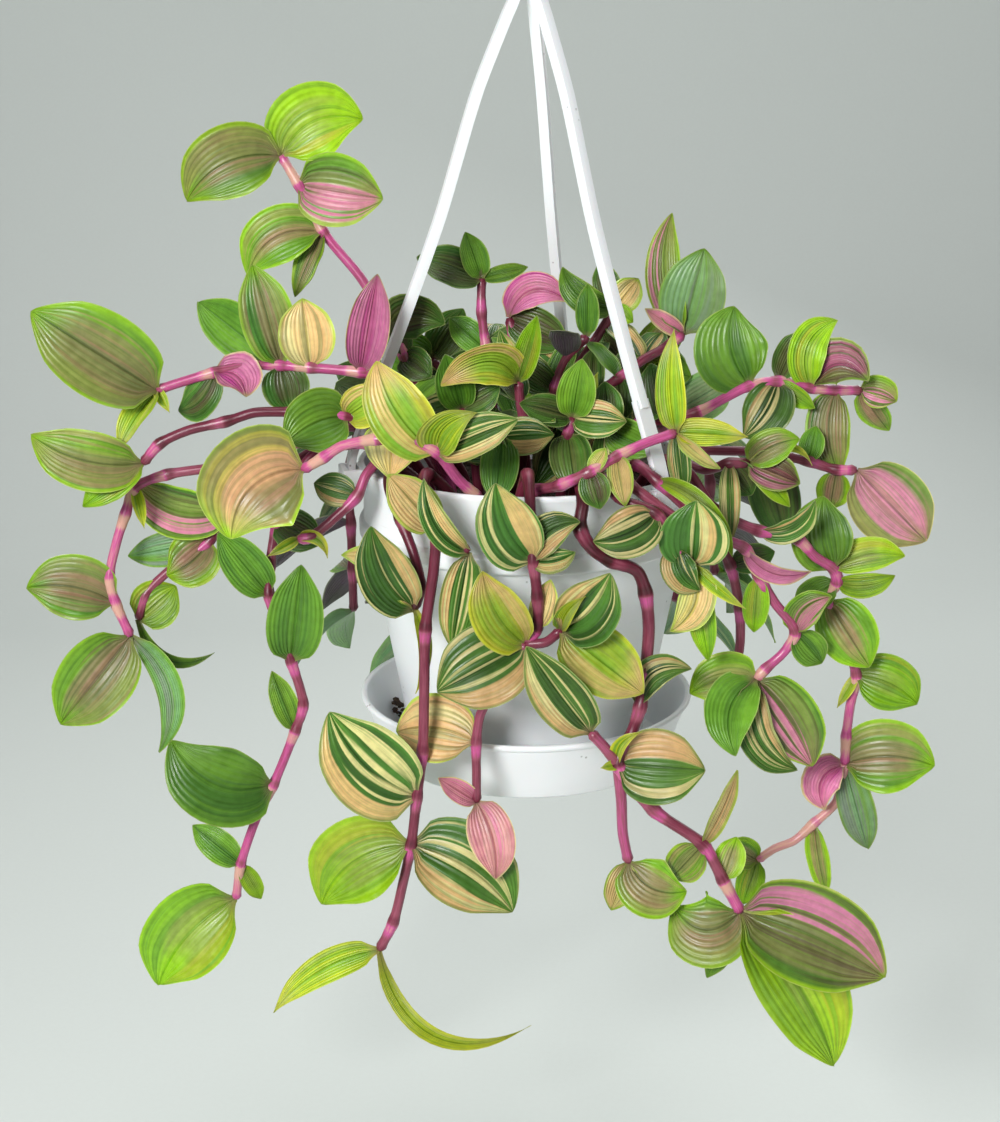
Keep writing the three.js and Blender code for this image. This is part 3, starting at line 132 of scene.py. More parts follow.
# The front of the plant as it is seen from EYE. A seen place [x, z, near] lies on the line of sight through
# [x, z] on the upright plane through the pot's axis, "near" millimetres in front of that plane. A leaf:
# [stem place, seen x and z of its tip, how far the tip stands ahead of its base, width, roll, bend, sweep,
# kind].
SHOOTS = [
{
  "root": [-28, 6],
  "stem": [[-46, 20, 0], [-54, 45, -4], [-59, 56, -6], [-72, 79, -10], [-88, 99, -14], [-98, 119, -16],
    [-105, 131, -18]],
  "leaves": [
    [6, -70, 146, -4, 34, 0, 50, 0.2, "lime"],
    [6, -146, 112, 4, 32, 0, 50, -0.16, "mauve"],
    [5, -62, 113, 6, 34, -10, 40, 0, "half"],
    [4, -121, 80, 2, 26, 10, 60, -0.2, "mauve"],
    [4, -101, 71, 8, 13, 35, 20, 0, "mauve"],
    [2, -36, 59, 8, 22, 20, 50, 0.3, "dark"],
    [1, -42, 36, 10, 16, 0, 40, 0, "dark"],
  ],
},
{
  "root": [-34, -8],
  "stem": [[-52, 22, 14], [-66, 36, 23], [-73, 38, 24], [-95, 40, 22], [-108, 41, 20], [-122, 41, 22],
    [-137, 38, 24], [-154, 33, 26], [-163, 30, 27]],
  "leaves": [
    [8, -216, 65, 8, 40, 0, 40, 0, "mauve"],
    [8, -182, 2, 6, 17, 30, 40, 0, "young"],
    [8, -158, 20, 5, 7, 0, 30, 0, "young"],
    [6, -124, 27, 8, 24, -30, 80, 0.2, "pink"],
    [6, -154, 21, -4, 18, 20, 50, 0.2, "dark"],
    [4, -104, 20, 3, 22, 0, 40, 0, "dark"],
    [4, -119, 85, -4, 25, 0, 35, 0, "mauve"],
    [2, -65, 81, 6, 20, 0, 25, 0, "pink"],
    [3, -98, 70, -6, 26, 0, 30, 0, "peach"],
    [4, -143, 69, -30, 24, 0, 30, 0, "green"],
  ],
},
{
  "root": [-42, -20],
  "stem": [[-60, 10, 30], [-80, 18, 32], [-100, 20, 34], [-120, 20, 35], [-133, 16, 36], [-150, 12, 37],
    [-163, 6, 38], [-171, -3, 38]],
  "leaves": [
    [7, -220, 10, 4, 28, 0, 40, 0.1, "mauve"],
    [7, -199, -23, 8, 17, 20, 30, 0, "lime"],
    [0, -61, -10, 26, 26, 0, 60, 0, "peach"],
    [1, -107, 6, 14, 30, 0, 60, -0.1, "green"],
    [1, -62, 30, 6, 20, 0, 30, 0, "gold"],
  ],
},
{
  "root": [-50, -10],
  "stem": [[-70, 5.6, 29], [-84, 5, 30], [-105, 6, 24], [-135, -4, 22], [-160, -8, 23], [-175, -14, 24],
    [-180, -26, 26], [-185, -40, 28], [-189, -56, 30], [-187, -68, 31], [-181, -84, 32]],
  "leaves": [
    [5, -172, -33, 4, 8, 0, 30, 0, "young"],
    [9, -227, -61, 4, 31, 0, 40, -0.1, "mauve"],
    [10, -216, -127, 8, 36, 0, 40, 0, "mauve"],
    [10, -171, -141, 2, 13, 0, 50, 0.2, "pale"],
  ],
},
{
  "root": [-52, 14],
  "stem": [[-70, 20, -6], [-84, 10, 0], [-112, -8, 10], [-134, -24, 10], [-143, -39, 12], [-162, -53, 16],
    [-173, -64, 18], [-177, -76, 20]],
  "leaves": [
    [3, -176, -10, 4, 26, -15, 50, 0.15, "half"],
    [4, -163, -55, 8, 26, 10, 30, 0.1, "mauve"],
    [4, -180, -46, -4, 17, 0, 30, 0, "pale"],
    [7, -159, -60, -4, 24, 0, 30, 0, "lime"],
    [7, -143, -92, -6, 6, 0, 60, -0.3, "green"],
  ],
},
{
  "root": [-18, -54],
  "stem": [[-23, -18, 60], [-31, -10, 65], [-40, 2, 72], [-50, 7, 72], [-66, 8, 70], [-82, 5, 66],
    [-90, 0, 64], [-100, -6, 62]],
  "leaves": [
    [7, -133, -38, 14, 50, 0, 55, -0.22, "blush"],
    [2, -66, 43, -6, 29, 0, 40, 0.1, "gold"],
    [2, -22, 20, 4, 24, 10, 40, 0.2, "young"],
    [2, -4, 17, 12, 20, -10, 35, 0, "stripe"],
  ],
},
{
  "root": [-4, -20],
  "stem": [[-1, 12, 30], [-3, 24, 32], [-4, 34, 34]],
  "leaves": [
    [2, -38, 32, 14, 21, -15, 50, -0.35, "gold"],
    [2, 4, 62, -4, 12, 0, 20, 0, "lime"],
    [2, -12, 56, -6, 12, 20, 30, 0, "stripe"],
  ],
},
{
  "root": [-12, 6],
  "stem": [[-16, 30, -12], [-18, 48, -16], [-20, 64, -18], [-20, 79, -20]],
  "leaves": [
    [3, -48, 88, 6, 19, 20, 40, 0, "dark"],
    [3, -27, 99, -4, 13, 10, 20, 0, "green"],
    [3, 0, 84, -4, 8, 0, 30, 0, "green"],
    [1, -34, 62, -6, 14, 0, 30, 0, "green"],
  ],
},
{
  "root": [0, 12],
  "stem": [[-4, 36, -8], [-6, 52, -10], [-8, 62, -12]],
  "leaves": [
    [2, 18, 69, 8, 17, -10, 60, 0.3, "pink"],
    [2, 18, 50, 6, 20, 0, 40, 0, "dark"],
    [1, 14, 38, 8, 18, 0, 30, 0, "stripe"],
  ],
},
{
  "root": [10, -4],
  "stem": [[12, 30, 10], [17, 44, 10], [26, 54, 12]],
  "leaves": [
    [2, 26, 77, 0, 11, 0, 20, 0, "green"],
    [0, -8, 44, -4, 16, 0, 30, 0, "dark"],
  ],
},
{
  "root": [16, 8],
  "stem": [[21, 37, 2], [30, 53, 0], [38, 66, -2]],
  "leaves": [
    [2, 15, 84, -4, 14, 10, 40, 0.2, "green"],
    [2, 31, 86, -8, 13, 0, 30, 0, "dark"],
    [2, 48, 79, -6, 15, 0, 40, 0, "peach"],
    [2, 46, 60, 6, 9, 0, 30, 0, "lime"],
  ],
},
{
  "root": [18, -14],
  "stem": [[22, 20, 14], [28, 27, 14], [40, 35, 10], [50, 43, 6], [62, 50, 2], [68, 55, 0]],
  "leaves": [
    [5, 76, 92, 2, 30, 0, 30, 0, "pale"],
    [5, 61, 107, -6, 18, -10, 30, 0.1, "half"],
    [5, 51, 66, 4, 9, 0, 30, 0, "pink"],
    [0, 31, 38, 6, 12, 10, 20, 0, "young"],
    [0, 13, 17, 10, 8, 0, 20, 0, "young"],
    [0, 3, -14, 34, 29, 0, 40, 0.1, "stripe"],
    [2, 42, 16, 8, 16, 0, 40, 0, "dark"],
  ],
},
{
  "root": [4, -60],
  "stem": [[4, -16, 61], [9, -14.5, 68], [15, -13, 75.5], [28, -7, 79.5], [40, 0, 72], [52, 6, 68],
    [66, 11, 64]],
  "leaves": [
    [6, 64, 57, -4, 18, 0, 25, 0.05, "young"],
    [6, 98, 9, 4, 17, -10, 40, 0, "young"],
    [6, 88, -4, 12, 9, 40, 30, 0, "peach"],
    [6, 70, -18, 6, 11, 0, 30, 0, "stripe"],
    [3, 35, 4, -4, 8, 0, 30, 0, "peach"],
    [3, 33, -24, 4, 15, 0, 30, 0, "dark"],
    [4, 44, -22, 4, 12, 0, 30, 0, "peach"],
  ],
},
{
  "root": [36, -10],
  "stem": [[48, 14, 22], [60, 17, 24], [75, 20, 24], [88, 27, 22], [98, 32, 20], [110, 34, 18], [125, 31, 16],
    [136, 30, 14], [147, 30, 12]],
  "leaves": [
    [4, 90, 67, -6, 34, 0, 35, 0.15, "green"],
    [5, 119, 56, -14, 14, 0, 30, 0, "dark"],
    [6, 135, 61, -6, 18, 0, 60, 0.3, "lime"],
    [6, 150, 34, 8, 24, -10, 60, 0.35, "russet"],
    [8, 163, 25, 4, 16, 0, 50, 0.1, "half"],
    [8, 160, 8, 2, 15, 20, 40, 0, "mauve"],
    [7, 140, -9, 8, 21, 10, 40, -0.1, "mauve"],
    [5, 96, 9, 6, 23, 0, 40, 0.1, "stripe"],
    [5, 127, 22, 4, 10, 20, 30, 0, "lime"],
    [1, 54, 42, -6, 18, 0, 30, 0, "dark"],
  ],
},
{
  "root": [50, -24],
  "stem": [[65.5, -2.3, 36], [80, -6, 44], [90, -3, 48], [99, -3, 48]],
  "leaves": [
    [3, 121, 8, 4, 17, 0, 40, 0.1, "mauve"],
    [3, 122, -12, 8, 19, -10, 40, 0, "russet"],
    [3, 118, -23, 6, 10, 0, 30, 0, "lime"],
    [3, 127, -4, -6, 6, 20, 60, 0.3, "young"],
    [2, 101, -18, 2, 16, 0, 40, 0, "dark"],
    [2, 92, -40, 12, 10, 0, 30, 0, "stripe"],
  ],
},
{
  "root": [54, -12],
  "stem": [[70, 4, 19], [80, 3, 22], [105, 2, 24], [125, -2, 26], [138, -6, 28], [147, -6, 29]],
  "leaves": [
    [5, 180, -39, 4, 38, 0, 35, 0, "flushed"],
    [4, 136, -24, -4, 16, 0, 30, 0, "mauve"],
    [2, 116, -36, -6, 24, 0, 40, 0, "dark"],
    [3, 128, 14, -4, 12, 0, 30, 0, "green"],
  ],
},
{
  "root": [44, -34],
  "stem": [[60.5, -2, 44.5], [71.5, -6.6, 53], [84, -24, 57], [104, -34, 56], [122, -38, 54], [130, -46, 52],
    [139, -52, 50], [141, -58, 49], [137, -67, 46], [145, -85, 44], [152, -103, 44], [150, -118, 44],
    [149, -133, 45], [149, -147, 46]],
  "leaves": [
    [6, 133, -18, -6, 29, 0, 40, 0.1, "green"],
    [6, 171, -46, 4, 17, -10, 40, 0.1, "lime"],
    [7, 167, -55, 10, 12, 10, 40, -0.1, "lime"],
    [3, 129, -20, 8, 13, 30, 40, -0.2, "stripe"],
    [8, 158, -99, 10, 28, 0, 35, 0, "mauve"],
    [7, 122, -70, -8, 16, 0, 30, 0, "green"],
    [10, 181, -117, 6, 27, 0, 50, 0.1, "lime"],
    [10, 144, -119, 2, 7, 0, 30, 0, "young"],
    [13, 191, -148, 8, 36, 0, 50, 0.1, "mauve"],
    [13, 162, -190, -6, 18, 0, 40, 0, "pale"],
    [13, 141, -170, 6, 20, 0, 60, -0.3, "pink"],
  ],
  "twigs": [
    {
      "from": 13,
      "stem": [[146, -166, 44], [136, -177, 44], [127, -186, 45], [118, -190, 46], [110, -196, 47]],
      "leaves": [
        [2, 144, -214, 4, 12, 20, 30, 0, "mauve"],
        [5, 104, -219, 4, 14, 0, 40, 0, "lime"],
        [5, 95, -187, 0, 16, 0, 40, 0, "mauve"],
      ],
    },
  ],
},
{
  "root": [32, -48],
  "stem": [[41, -7, 63], [49, -15, 74], [76, -34, 76], [98, -42, 72], [105, -55, 68], [113, -68, 66],
    [123, -82, 64], [118, -92, 64], [110, -100, 65], [106, -105, 66]],
  "leaves": [
    [6, 139, -65, 6, 17, 10, 40, 0.2, "half"],
    [6, 136, -97, -4, 17, 0, 40, 0, "green"],
    [3, 129, -53, 6, 10, 20, 30, -0.2, "pink"],
    [4, 104, -82, -8, 13, 0, 30, 0, "lime"],
    [9, 134, -148, 8, 32, 0, 35, 0.05, "half"],
    [9, 98, -143, 6, 25, 0, 40, -0.2, "green"],
    [9, 76, -112, 4, 26, 0, 40, -0.1, "mauve"],
    [9, 128, -152, -6, 20, 0, 60, -0.3, "stripe"],
  ],
},
{
  "root": [38, -40],
  "stem": [[48, -4, 57.5], [58, -11, 66], [82, -34, 66], [92, -50, 62], [97, -70, 58], [98, -86, 56],
    [97, -98, 54]],
  "leaves": [
    [1, 93, -46, 14, 10, 20, 60, 0.2, "lime"],
    [6, 84, -126, 2, 14, 0, 40, 0, "mauve"],
    [3, 112, -44, -6, 14, 0, 30, 0, "dark"],
  ],
},
{
  "root": [26, -54],
  "crown": [32.5, -10, 64],
  "stem": [[35, -10, 69.5], [41, -19, 80], [58, -26, 84], [68, -42, 84], [75, -50, 84]],
  "leaves": [
    [4, 76, -20, 4, 33, 0, 35, 0, "stripe"],
    [2, 30, -39, 6, 24, 0, 40, 0.1, "stripe"],
    [3, 79, -62, 6, 17, 0, 50, -0.2, "stripe"],
    [4, 100, -71, 8, 9, 20, 30, 0, "young"],
    [4, 66, -82, 0, 18, 0, 60, 0.2, "peach"],
    [4, 84, -97, 2, 14, 0, 40, 0, "lime"],
  ],
},
{
  "root": [18, -56],
  "crown": [22.5, -11, 66],
  "stem": [[24, -11, 71.5], [25, -22, 82], [24, -33, 86], [30, -43, 88], [38, -48, 88], [50, -53, 88],
    [54, -63, 88],
    [56, -80, 88], [55, -100, 88], [53, -118, 90], [48, -135, 92], [43, -147, 94], [60, -170, 96],
    [84, -188, 98], [94, -206, 98], [103, -223, 98]],
  "leaves": [
    [11, 84, -150, 6, 37, 0, 35, 0, "stripe"],
    [11, 54, -131, 6, 9, 0, 40, 0.2, "young"],
    [11, 35, -149, 4, 7, 0, 30, 0, "young"],
    [13, 99, -150, 4, 10, 30, 30, 0, "peach"],
    [13, 70, -205, -10, 20, 0, 30, 0, "mauve"],
    [14, 100, -184, -8, 16, 0, 30, 0, "mauve"],
    [15, 71, -220, -6, 38, 0, 40, 0.3, "mauve"],
    [15, 174, -258, 10, 52, 0, 35, 0.05, "half"],
    [15, 152, -306, 12, 44, -10, 40, 0.05, "lime"],
    [15, 88, -258, 0, 14, 0, 30, 0, "green"],
    [9, 76, -100, -4, 16, 0, 60, 0.3, "stripe"],
  ],
  "twigs": [
    {
      "from": 11,
      "stem": [[45, -165, 92], [46, -182, 90], [49, -197, 90]],
      "leaves": [
        [3, 77, -212, 6, 30, 0, 50, -0.2, "mauve"],
        [3, 41, -222, 4, 16, 0, 40, 0, "peach"],
      ],
    },
    {
      "from": 11,
      "stem": [[37, -139, 95], [30, -131, 96]],
      "leaves": [
        [2, 0, -89, 8, 27, 0, 30, 0, "stripe"],
      ],
    },
  ],
},
{
  "root": [-5, -60],
  "stem": [[0, -8, 68], [1, -14, 76], [2, -30, 86], [3, -48, 88], [5, -65, 88], [5, -80, 88], [0, -88, 89]],
  "leaves": [
    [3, -14, -12, 6, 30, 0, 40, 0.1, "stripe"],
    [3, 24, -30, 4, 18, 0, 50, 0.2, "stripe"],
    [3, 22, -44, 4, 12, 0, 40, -0.1, "stripe"],
    [6, -41, -111, 8, 40, 0, 40, 0, "stripe"],
    [6, -20, -53, 6, 27, 0, 35, 0.1, "gold"],
    [5, 11, -57, -4, 13, 0, 30, 0, "peach"],
  ],
  "twigs": [
    {
      "from": 6,
      "stem": [[9, -87, 91], [16, -81, 93]],
      "leaves": [
        [2, 54, -112, 6, 32, 0, 35, 0, "gold"],
        [2, 27, -65, 6, 11, 0, 30, 0.1, "young"],
        [2, 38, -54, -6, 30, 0, 30, -0.1, "stripe"],
      ],
    },
    {
      "from": 6,
      "stem": [[-12, -105, 86], [-21, -122, 86], [-23, -136, 87], [-23, -152, 88], [-23, -166, 88]],
      "leaves": [
        [3, -60, -131, -4, 34, 0, 40, -0.1, "peach"],
        [5, -14, -206, 8, 24, 10, 30, 0.1, "pink"],
        [5, -41, -154, 4, 12, 0, 30, 0, "pink"],
      ],
    },
  ],
},
{
  "root": [-29, -49],
  "stem": [[-44, -8, 60], [-46, -16, 72], [-41, -33, 84], [-42, -52, 86], [-46, -80, 87], [-47, -112, 88],
    [-48, -140, 89], [-51, -163, 90], [-54, -188, 90], [-58, -207, 91], [-63, -228, 92], [-70, -243, 92]],
  "leaves": [
    [2, -62, -8, 4, 22, 0, 30, 0, "peach"],
    [7, -91, -121, 6, 42, 0, 40, 0.1, "stripe"],
    [8, -97, -219, -6, 42, 0, 40, -0.15, "lime"],
    [8, -6, -223, 8, 42, 0, 50, 0.1, "stripe"],
    [11, -122, -277, 4, 21, 0, 25, -0.1, "young"],
    [11, 3, -284, 10, 11, 0, 60, -0.3, "young"],
  ],
  "twigs": [
    {
      "from": 2,
      "stem": [[-33, -38, 86], [-26, -44, 87]],
      "leaves": [
        [2, -46, -10, 4, 14, 20, 40, 0.2, "stripe"],
        [2, -34, -90, -2, 20, 0, 30, 0, "stripe"],
      ],
    },
  ],
},
{
  "root": [-39, -40],
  "stem": [[-58, -4, 46], [-62, -12, 56], [-57, -28, 70], [-51, -45, 78], [-48, -60, 79], [-51, -71, 80]],
  "leaves": [
    [5, -70, -32, 8, 27, 0, 35, 0.1, "stripe"],
    [5, -83, -46, 2, 19, 0, 40, -0.2, "peach"],
    [5, -51, -112, 2, 9, 0, 20, 0.1, "young"],
  ],
},
{
  "root": [-50, -26],
  "stem": [[-62.5, 0, 39], [-71.5, -8, 47], [-76, -18, 50], [-85, -27, 52], [-97, -37, 54], [-103, -38, 54]],
  "leaves": [
    [5, -90, -47, 4, 8, 0, 50, 0.3, "young"],
    [5, -117, -46, 0, 7, 0, 30, 0, "young"],
    [2, -95, -12, -6, 16, 0, 30, 0, "stripe"],
  ],
},
{
  "root": [-58, 0],
  "stem": [[-76, 14, 6], [-90, 6, 10], [-104, -10, 16], [-112, -30, 20], [-116, -50, 24], [-117, -64, 26],
    [-113, -80, 27], [-108, -96, 28], [-103, -117, 29], [-107, -130, 30], [-118, -157, 31],
    [-127, -175, 32], [-135, -198, 33], [-138, -216, 34]],
  "leaves": [
    [5, -139, -35, 4, 21, 0, 30, 0, "green"],
    [7, -102, -50, 8, 27, 0, 30, 0, "green"],
    [9, -117, -101, -4, 13, 0, 30, 0, "green"],
    [10, -165, -135, 6, 38, 0, 50, 0.2, "green"],
    [12, -157, -178, -6, 16, 0, 30, 0, "green"],
    [12, -126, -216, -4, 10, 0, 30, 0, "lime"],
    [13, -177, -262, 8, 42, 0, 40, -0.1, "lime"],
    [3, -92, -40, 10, 20, 0, 40, 0, "dark"],
  ],
},
{
  "root": [-21, -31],
  "stem": [[-24, 4, 32], [-27, 14, 33], [-29, 22, 34]],
  "leaves": [
    [2, -52, 14, 8, 20, 0, 40, 0, "stripe"],
    [2, -12, 32, 4, 16, 0, 40, 0, "dark"],
    [2, -36, 46, -6, 18, 0, 30, 0, "green"],
    [1, -22, -4, 14, 18, 0, 40, 0, "stripe"],
  ],
},
{
  "root": [-6, -38],
  "stem": [[-8, 0, 41], [-11, 9, 43]],
  "leaves": [
    [1, -32, 2, 8, 18, 0, 40, 0, "dark"],
    [1, 12, 10, 8, 18, 0, 40, 0, "stripe"],
    [1, -14, -22, 16, 18, 0, 40, 0, "green"],
  ],
},
{
  "root": [14, -33],
  "stem": [[16, 2, 36], [18, 10, 38], [20, 18, 38]],
  "leaves": [
    [2, -4, 24, 4, 15, 0, 30, 0, "dark"],
    [2, 44, 16, 8, 18, 0, 40, 0, "stripe"],
    [2, 24, 44, -4, 18, 0, 30, 0, "green"],
    [1, 22, -16, 16, 20, 0, 40, 0, "dark"],
  ],
},
{
  "root": [27, -26],
  "stem": [[31, 4, 30], [36, 12, 31]],
  "leaves": [
    [1, 58, 2, 10, 18, 0, 40, 0, "green"],
    [1, 34, 34, -4, 16, 0, 30, 0, "dark"],
    [1, 40, -14, 12, 18, 0, 40, 0, "stripe"],
  ],
},
{
  "root": [30, 16],
  "stem": [[35, 26, -16], [43, 36, -20], [49, 42, -22]],
  "leaves": [
    [2, 32, 60, 4, 18, 0, 40, 0, "dark"],
    [2, 72, 36, 4, 20, 0, 40, 0, "green"],
    [2, 68, 64, -6, 18, 0, 40, 0, "mauve"],
    [1, 46, 12, 8, 18, 0, 40, 0, "stripe"],
  ],
},
{
  "root": [-23, 24],
  "stem": [[-28, 26, -26], [-36, 36, -30], [-42, 44, -32]],
  "leaves": [
    [2, -66, 50, 6, 20, 0, 40, 0, "green"],
    [2, -28, 66, -4, 18, 0, 40, 0, "dark"],
    [1, -54, 22, 8, 18, 0, 40, 0, "stripe"],
    [1, -14, 44, 4, 18, 0, 40, 0, "dark"],
  ],
},
{
  "root": [8, 30],
  "stem": [[7, 22, -32], [5, 34, -34]],
  "leaves": [
    [1, -16, 36, 4, 18, 0, 40, 0, "green"],
    [1, 28, 38, 4, 18, 0, 40, 0, "dark"],
    [1, 4, 60, -4, 18, 0, 40, 0, "mauve"],
  ],
},
]

# The far side: [direction round the pot in degrees, how far the shoot trails below the rim]
BACK_SHOOTS = [[22, 75], [42, 100], [94, 85], [113, 110], [134, 70], [154, 90]]
BACK_SEED = 20711
BACK_ROOT_RADIUS = 46
BACK_CROWN = [[57, 3], [68, 13], [78, 12.5], [86, 3]]
BACK_STEP = 22
BACK_SWING = 5
BACK_LEAF = {"length": 40, "spread": 14, "width": 17, "more": 6, "bend": 45}
BACK_KINDS = ["mauve", "green", "stripe", "lime", "dark"]

# The ways a leaf may stand so that it clears its neighbours: [ahead, roll, turn, size]
TRIES = [
    [0, 0, 0, 1], [6, 0, 0, 1], [-6, 0, 0, 1], [12, 0, 0, 1], [-12, 0, 0, 1], [0, 15, 0, 1], [0, -15, 0, 1],
    [8, 15, 0, 1], [8, -15, 0, 1], [-8, 15, 0, 1], [-8, -15, 0, 1], [20, 0, 0, 1], [-20, 0, 0, 1],
    [0, 0, 8, 1], [0, 0, -8, 1], [12, 0, 8, 1], [12, 0, -8, 1], [-12, 0, 8, 1], [-12, 0, -8, 1],
    [16, 20, 0, 0.95], [16, -20, 0, 0.95], [-16, 20, 0, 0.95], [-16, -20, 0, 0.95], [28, 0, 0, 0.95],
    [0, 35, 0, 0.9], [0, -35, 0, 0.9], [10, 35, 8, 0.9], [10, -35, -8, 0.9], [10, 0, 16, 0.9],
    [10, 0, -16, 0.9],
    [-10, 0, 16, 0.85], [-10, 0, -16, 0.85], [24, 20, 12, 0.85], [24, -20, -12, 0.85], [0, 0, 0, 0.8],
    [12, 0, 0, 0.75], [-12, 0, 0, 0.75], [0, 30, 0, 0.75], [0, -30, 0, 0.75], [20, 0, 20, 0.75],
    [20, 0, -20, 0.75],
]

# How deep the colour of each stem is at its root and at its end, 0 wine red to 1 pale pink
STEM_TONES = [
    (0.35, 0.85), (0.6, 0.75), (0.25, 0.5), (0.3, 0.9), (0.12, 0.45), (0.6, 0.8), (0.3, 0.45), (0.35, 0.5),
    (0.2, 0.35), (0.3, 0.45), (0.3, 0.45), (0.15, 0.5), (0.5, 0.7), (0.35, 0.75), (0.15, 0.3), (0.2, 0.45),
    (0.15, 0.9), (0.4, 0.7), (0.2, 0.45), (0.15, 0.3), (0.02, 0.66), (0.2, 0.4), (0.08, 0.5), (0.1, 0.25),
    (0.35, 0.6), (0.1, 0.8),
]
PLAIN_TONES = (0.15, 0.4)
THICK_STEMS = {21: 1.15, 22: 1.03, 23: 1.03}

# Which half the coloured sector takes, for [shoot, leaf] where it shows
SECTOR_SIDES = {(21, 7): 1, (16, 0): -1}

# How a fine blade gives way where it would cross another: [how far its tip lifts, roll, size]. CLEAR is the
# room it keeps. A smaller blade counts as SHRINK_COST crossings times what it loses of its size.
GIVE_WAY = [
    [0, 0, 1], [1.5, 0, 1], [-1.5, 0, 1], [0, 8, 1], [0, -8, 1], [3, 0, 1], [-3, 0, 1], [2, 8, 1],
    [-2, -8, 1],
    [2, -8, 1], [-2, 8, 1], [5, 0, 1], [-5, 0, 1], [0, 16, 1], [0, -16, 1], [4, 0, 0.93], [-4, 0, 0.93],
    [7, 0, 0.93], [-7, 0, 0.93], [0, 24, 0.9], [0, -24, 0.9], [6, 0, 0.85], [-6, 0, 0.85], [0, 0, 0.75],
]
CLEAR = 0.25
SHRINK_COST = 40

# The room that the pot and the saucer take, which a blade keeps out of
SAUCER_ROOM = {"top": -105, "low": -137.5, "radius": 76.5, "under": 57}
POT_ROOM = {"top": 0.8, "collar": -34, "collar_radius": 76, "radius": 71.6, "slope": 0.187, "inside": 70.5}

# Pot, saucer, soil and hub as profiles of [radius, height]
POT_PROFILE = [
    (0, -130), (44, -130), (46, -130.2), (46.6, -134.0), (51.2, -134.2), (53.5, -129), (71.2, -34.4),
    (74.6, -32.9), (75, -32.2), (75, -27.2), (74.6, -26.3), (73, -25.2), (72.7, -13), (73.2, -7), (75, -2),
    (74.9, -0.6), (74.2, 0), (72.8, 0), (72.2, -0.6), (71.6, -12), (71, -25), (69.5, -36), (52, -127.4),
    (0, -127.4),
]
SAUCER_PROFILE = [
    (0, -136.5), (62.6, -136.5), (64.2, -136.3), (65.2, -135.4), (69.6, -123.4), (73.8, -111.4),
    (75.2, -110.6), (75.8, -109.4), (75.4, -108.3), (74.4, -108), (73.2, -108.5), (72.4, -110),
    (67.9, -122.3), (63.4, -134.2), (62.8, -134.5), (0, -134.5),
]
SOIL_SIDE = [(0, -127.1), (51.7, -127.1), (69.1, -36.2), (70.5, -26), (70.7, -19.0)]
SOIL_STEPS = 72
HUB_PROFILE = [(0, 200.3), (9, 200.3), (10, 201.3), (10, 208.7), (9.4, 210), (7, 211.7), (0, 211.7)]
HUB_STEPS = 48
EAR = {"deep": 9.9, "width": 16, "height": 9, "wall": 2.6, "rounding": 0.5, "out": 78.55}

# Soil that has washed into the saucer: loose crumbs, and a heap against its wall, which widens upwards
LOOSE_CRUMBS = {"count": 34, "arc": (172, 216), "radii": (56.5, 62), "height": -134.4, "sizes": (0.5, 1.3)}
HEAP = {"lumps": 46, "direction": 161, "spread": 8, "height": 11, "deep": 4}
SAUCER_FLOOR = -134.5
SAUCER_FOOT = 63.4
SAUCER_SLOPE = 0.367

# The soil's top is a low dome: [height at its edge, rise to its middle]
DOME_REACH = 66
SOIL_DOME = [-16.4, 2.4]
CRUMB_DOME = [-16.3, 2.2]
TOP_CRUMBS = 420

# Small leaves low on the stems, inside the crown
INNER_LEAF = {"length": 19, "spread": 9, "width": 0.55, "bend": 40, "most_height": 46, "most_radius": 66}

STRAP_ANGLES = {"left": 193.8, "back": 73.8, "front": -46.2}
ARM = {"width": 4.7, "thick": 4.8}
FOOT = {"width": 8, "thick": 3}
BARB = {"size": (3, 13, 5, 1), "place": (79, 0, -12.1), "rounding": 0.6}
HOOK_WIRE = 3
HOOK_BEND = 12
HOOK_CENTRE = HOOK_TO_RIM - 9
HOOK_SHANK = [(0, 207.7), (1.5, 216.7), (9.5, HOOK_CENTRE - 22), (HOOK_BEND, HOOK_CENTRE - 10),
              (HOOK_BEND, HOOK_CENTRE)]
HOOK_END = [(-HOOK_BEND, HOOK_CENTRE), (-HOOK_BEND - 0.5, HOOK_CENTRE - 8),
            (-HOOK_BEND - 3, HOOK_CENTRE - 15)]
STRAP_ROUTE = [[6, 199.6], [6.4, 195], [9.6, 188], [22.5, 157], [39, 105], [57, 58], [67.8, 31.5]]
FOOT_ROUTE = [[66.4, 35], [76, 12], [79, 2], [79, -12]]

# Backdrop in metres: how far it reaches sideways and forwards, where its wall stands, how high, and its bend
PAPER_REACH = 5
WALL_BEHIND = 1.6
WALL_TOP = 2.6
WALL_BEND = 0.7

# Lamps in metres and watts: place, size, power. All point at the middle of the plant.
PLANT_MIDDLE = Vector((0, 0, -0.25))
LAMPS = {
    "key_light": ((-0.7, -1.5, 0.42), 0.6, 34), "fill_light": ((1.3, -1.1, 0.1), 1.2, 4),
    "top_light": ((0.1, 0.3, 1.15), 1.2, 10), "back_light": ((0.5, 0.95, 0.3), 0.9, 6),
}
ROOM_LIGHT = 0.13
SENSOR = 36


def linear(hex_colour):
    """Scene-linear RGB of an sRGB hex colour."""
    values = [int(hex_colour[i:i + 2], 16) / 255 for i in (0, 2, 4)]
    return [c / 12.92 if c <= 0.04045 else ((c + 0.055) / 1.055) ** 2.4 for c in values]


def colour(name, description, hex_colour):
    return bpy.props.FloatVectorProperty(
        name=name, description=description, subtype="COLOR", size=3, min=0, max=1, default=linear(hex_colour))


def length(name, description, millimetres):
    return bpy.props.FloatProperty(
        name=name, description=description, subtype="DISTANCE", unit="LENGTH", min=0,
        default=millimetres * MM)


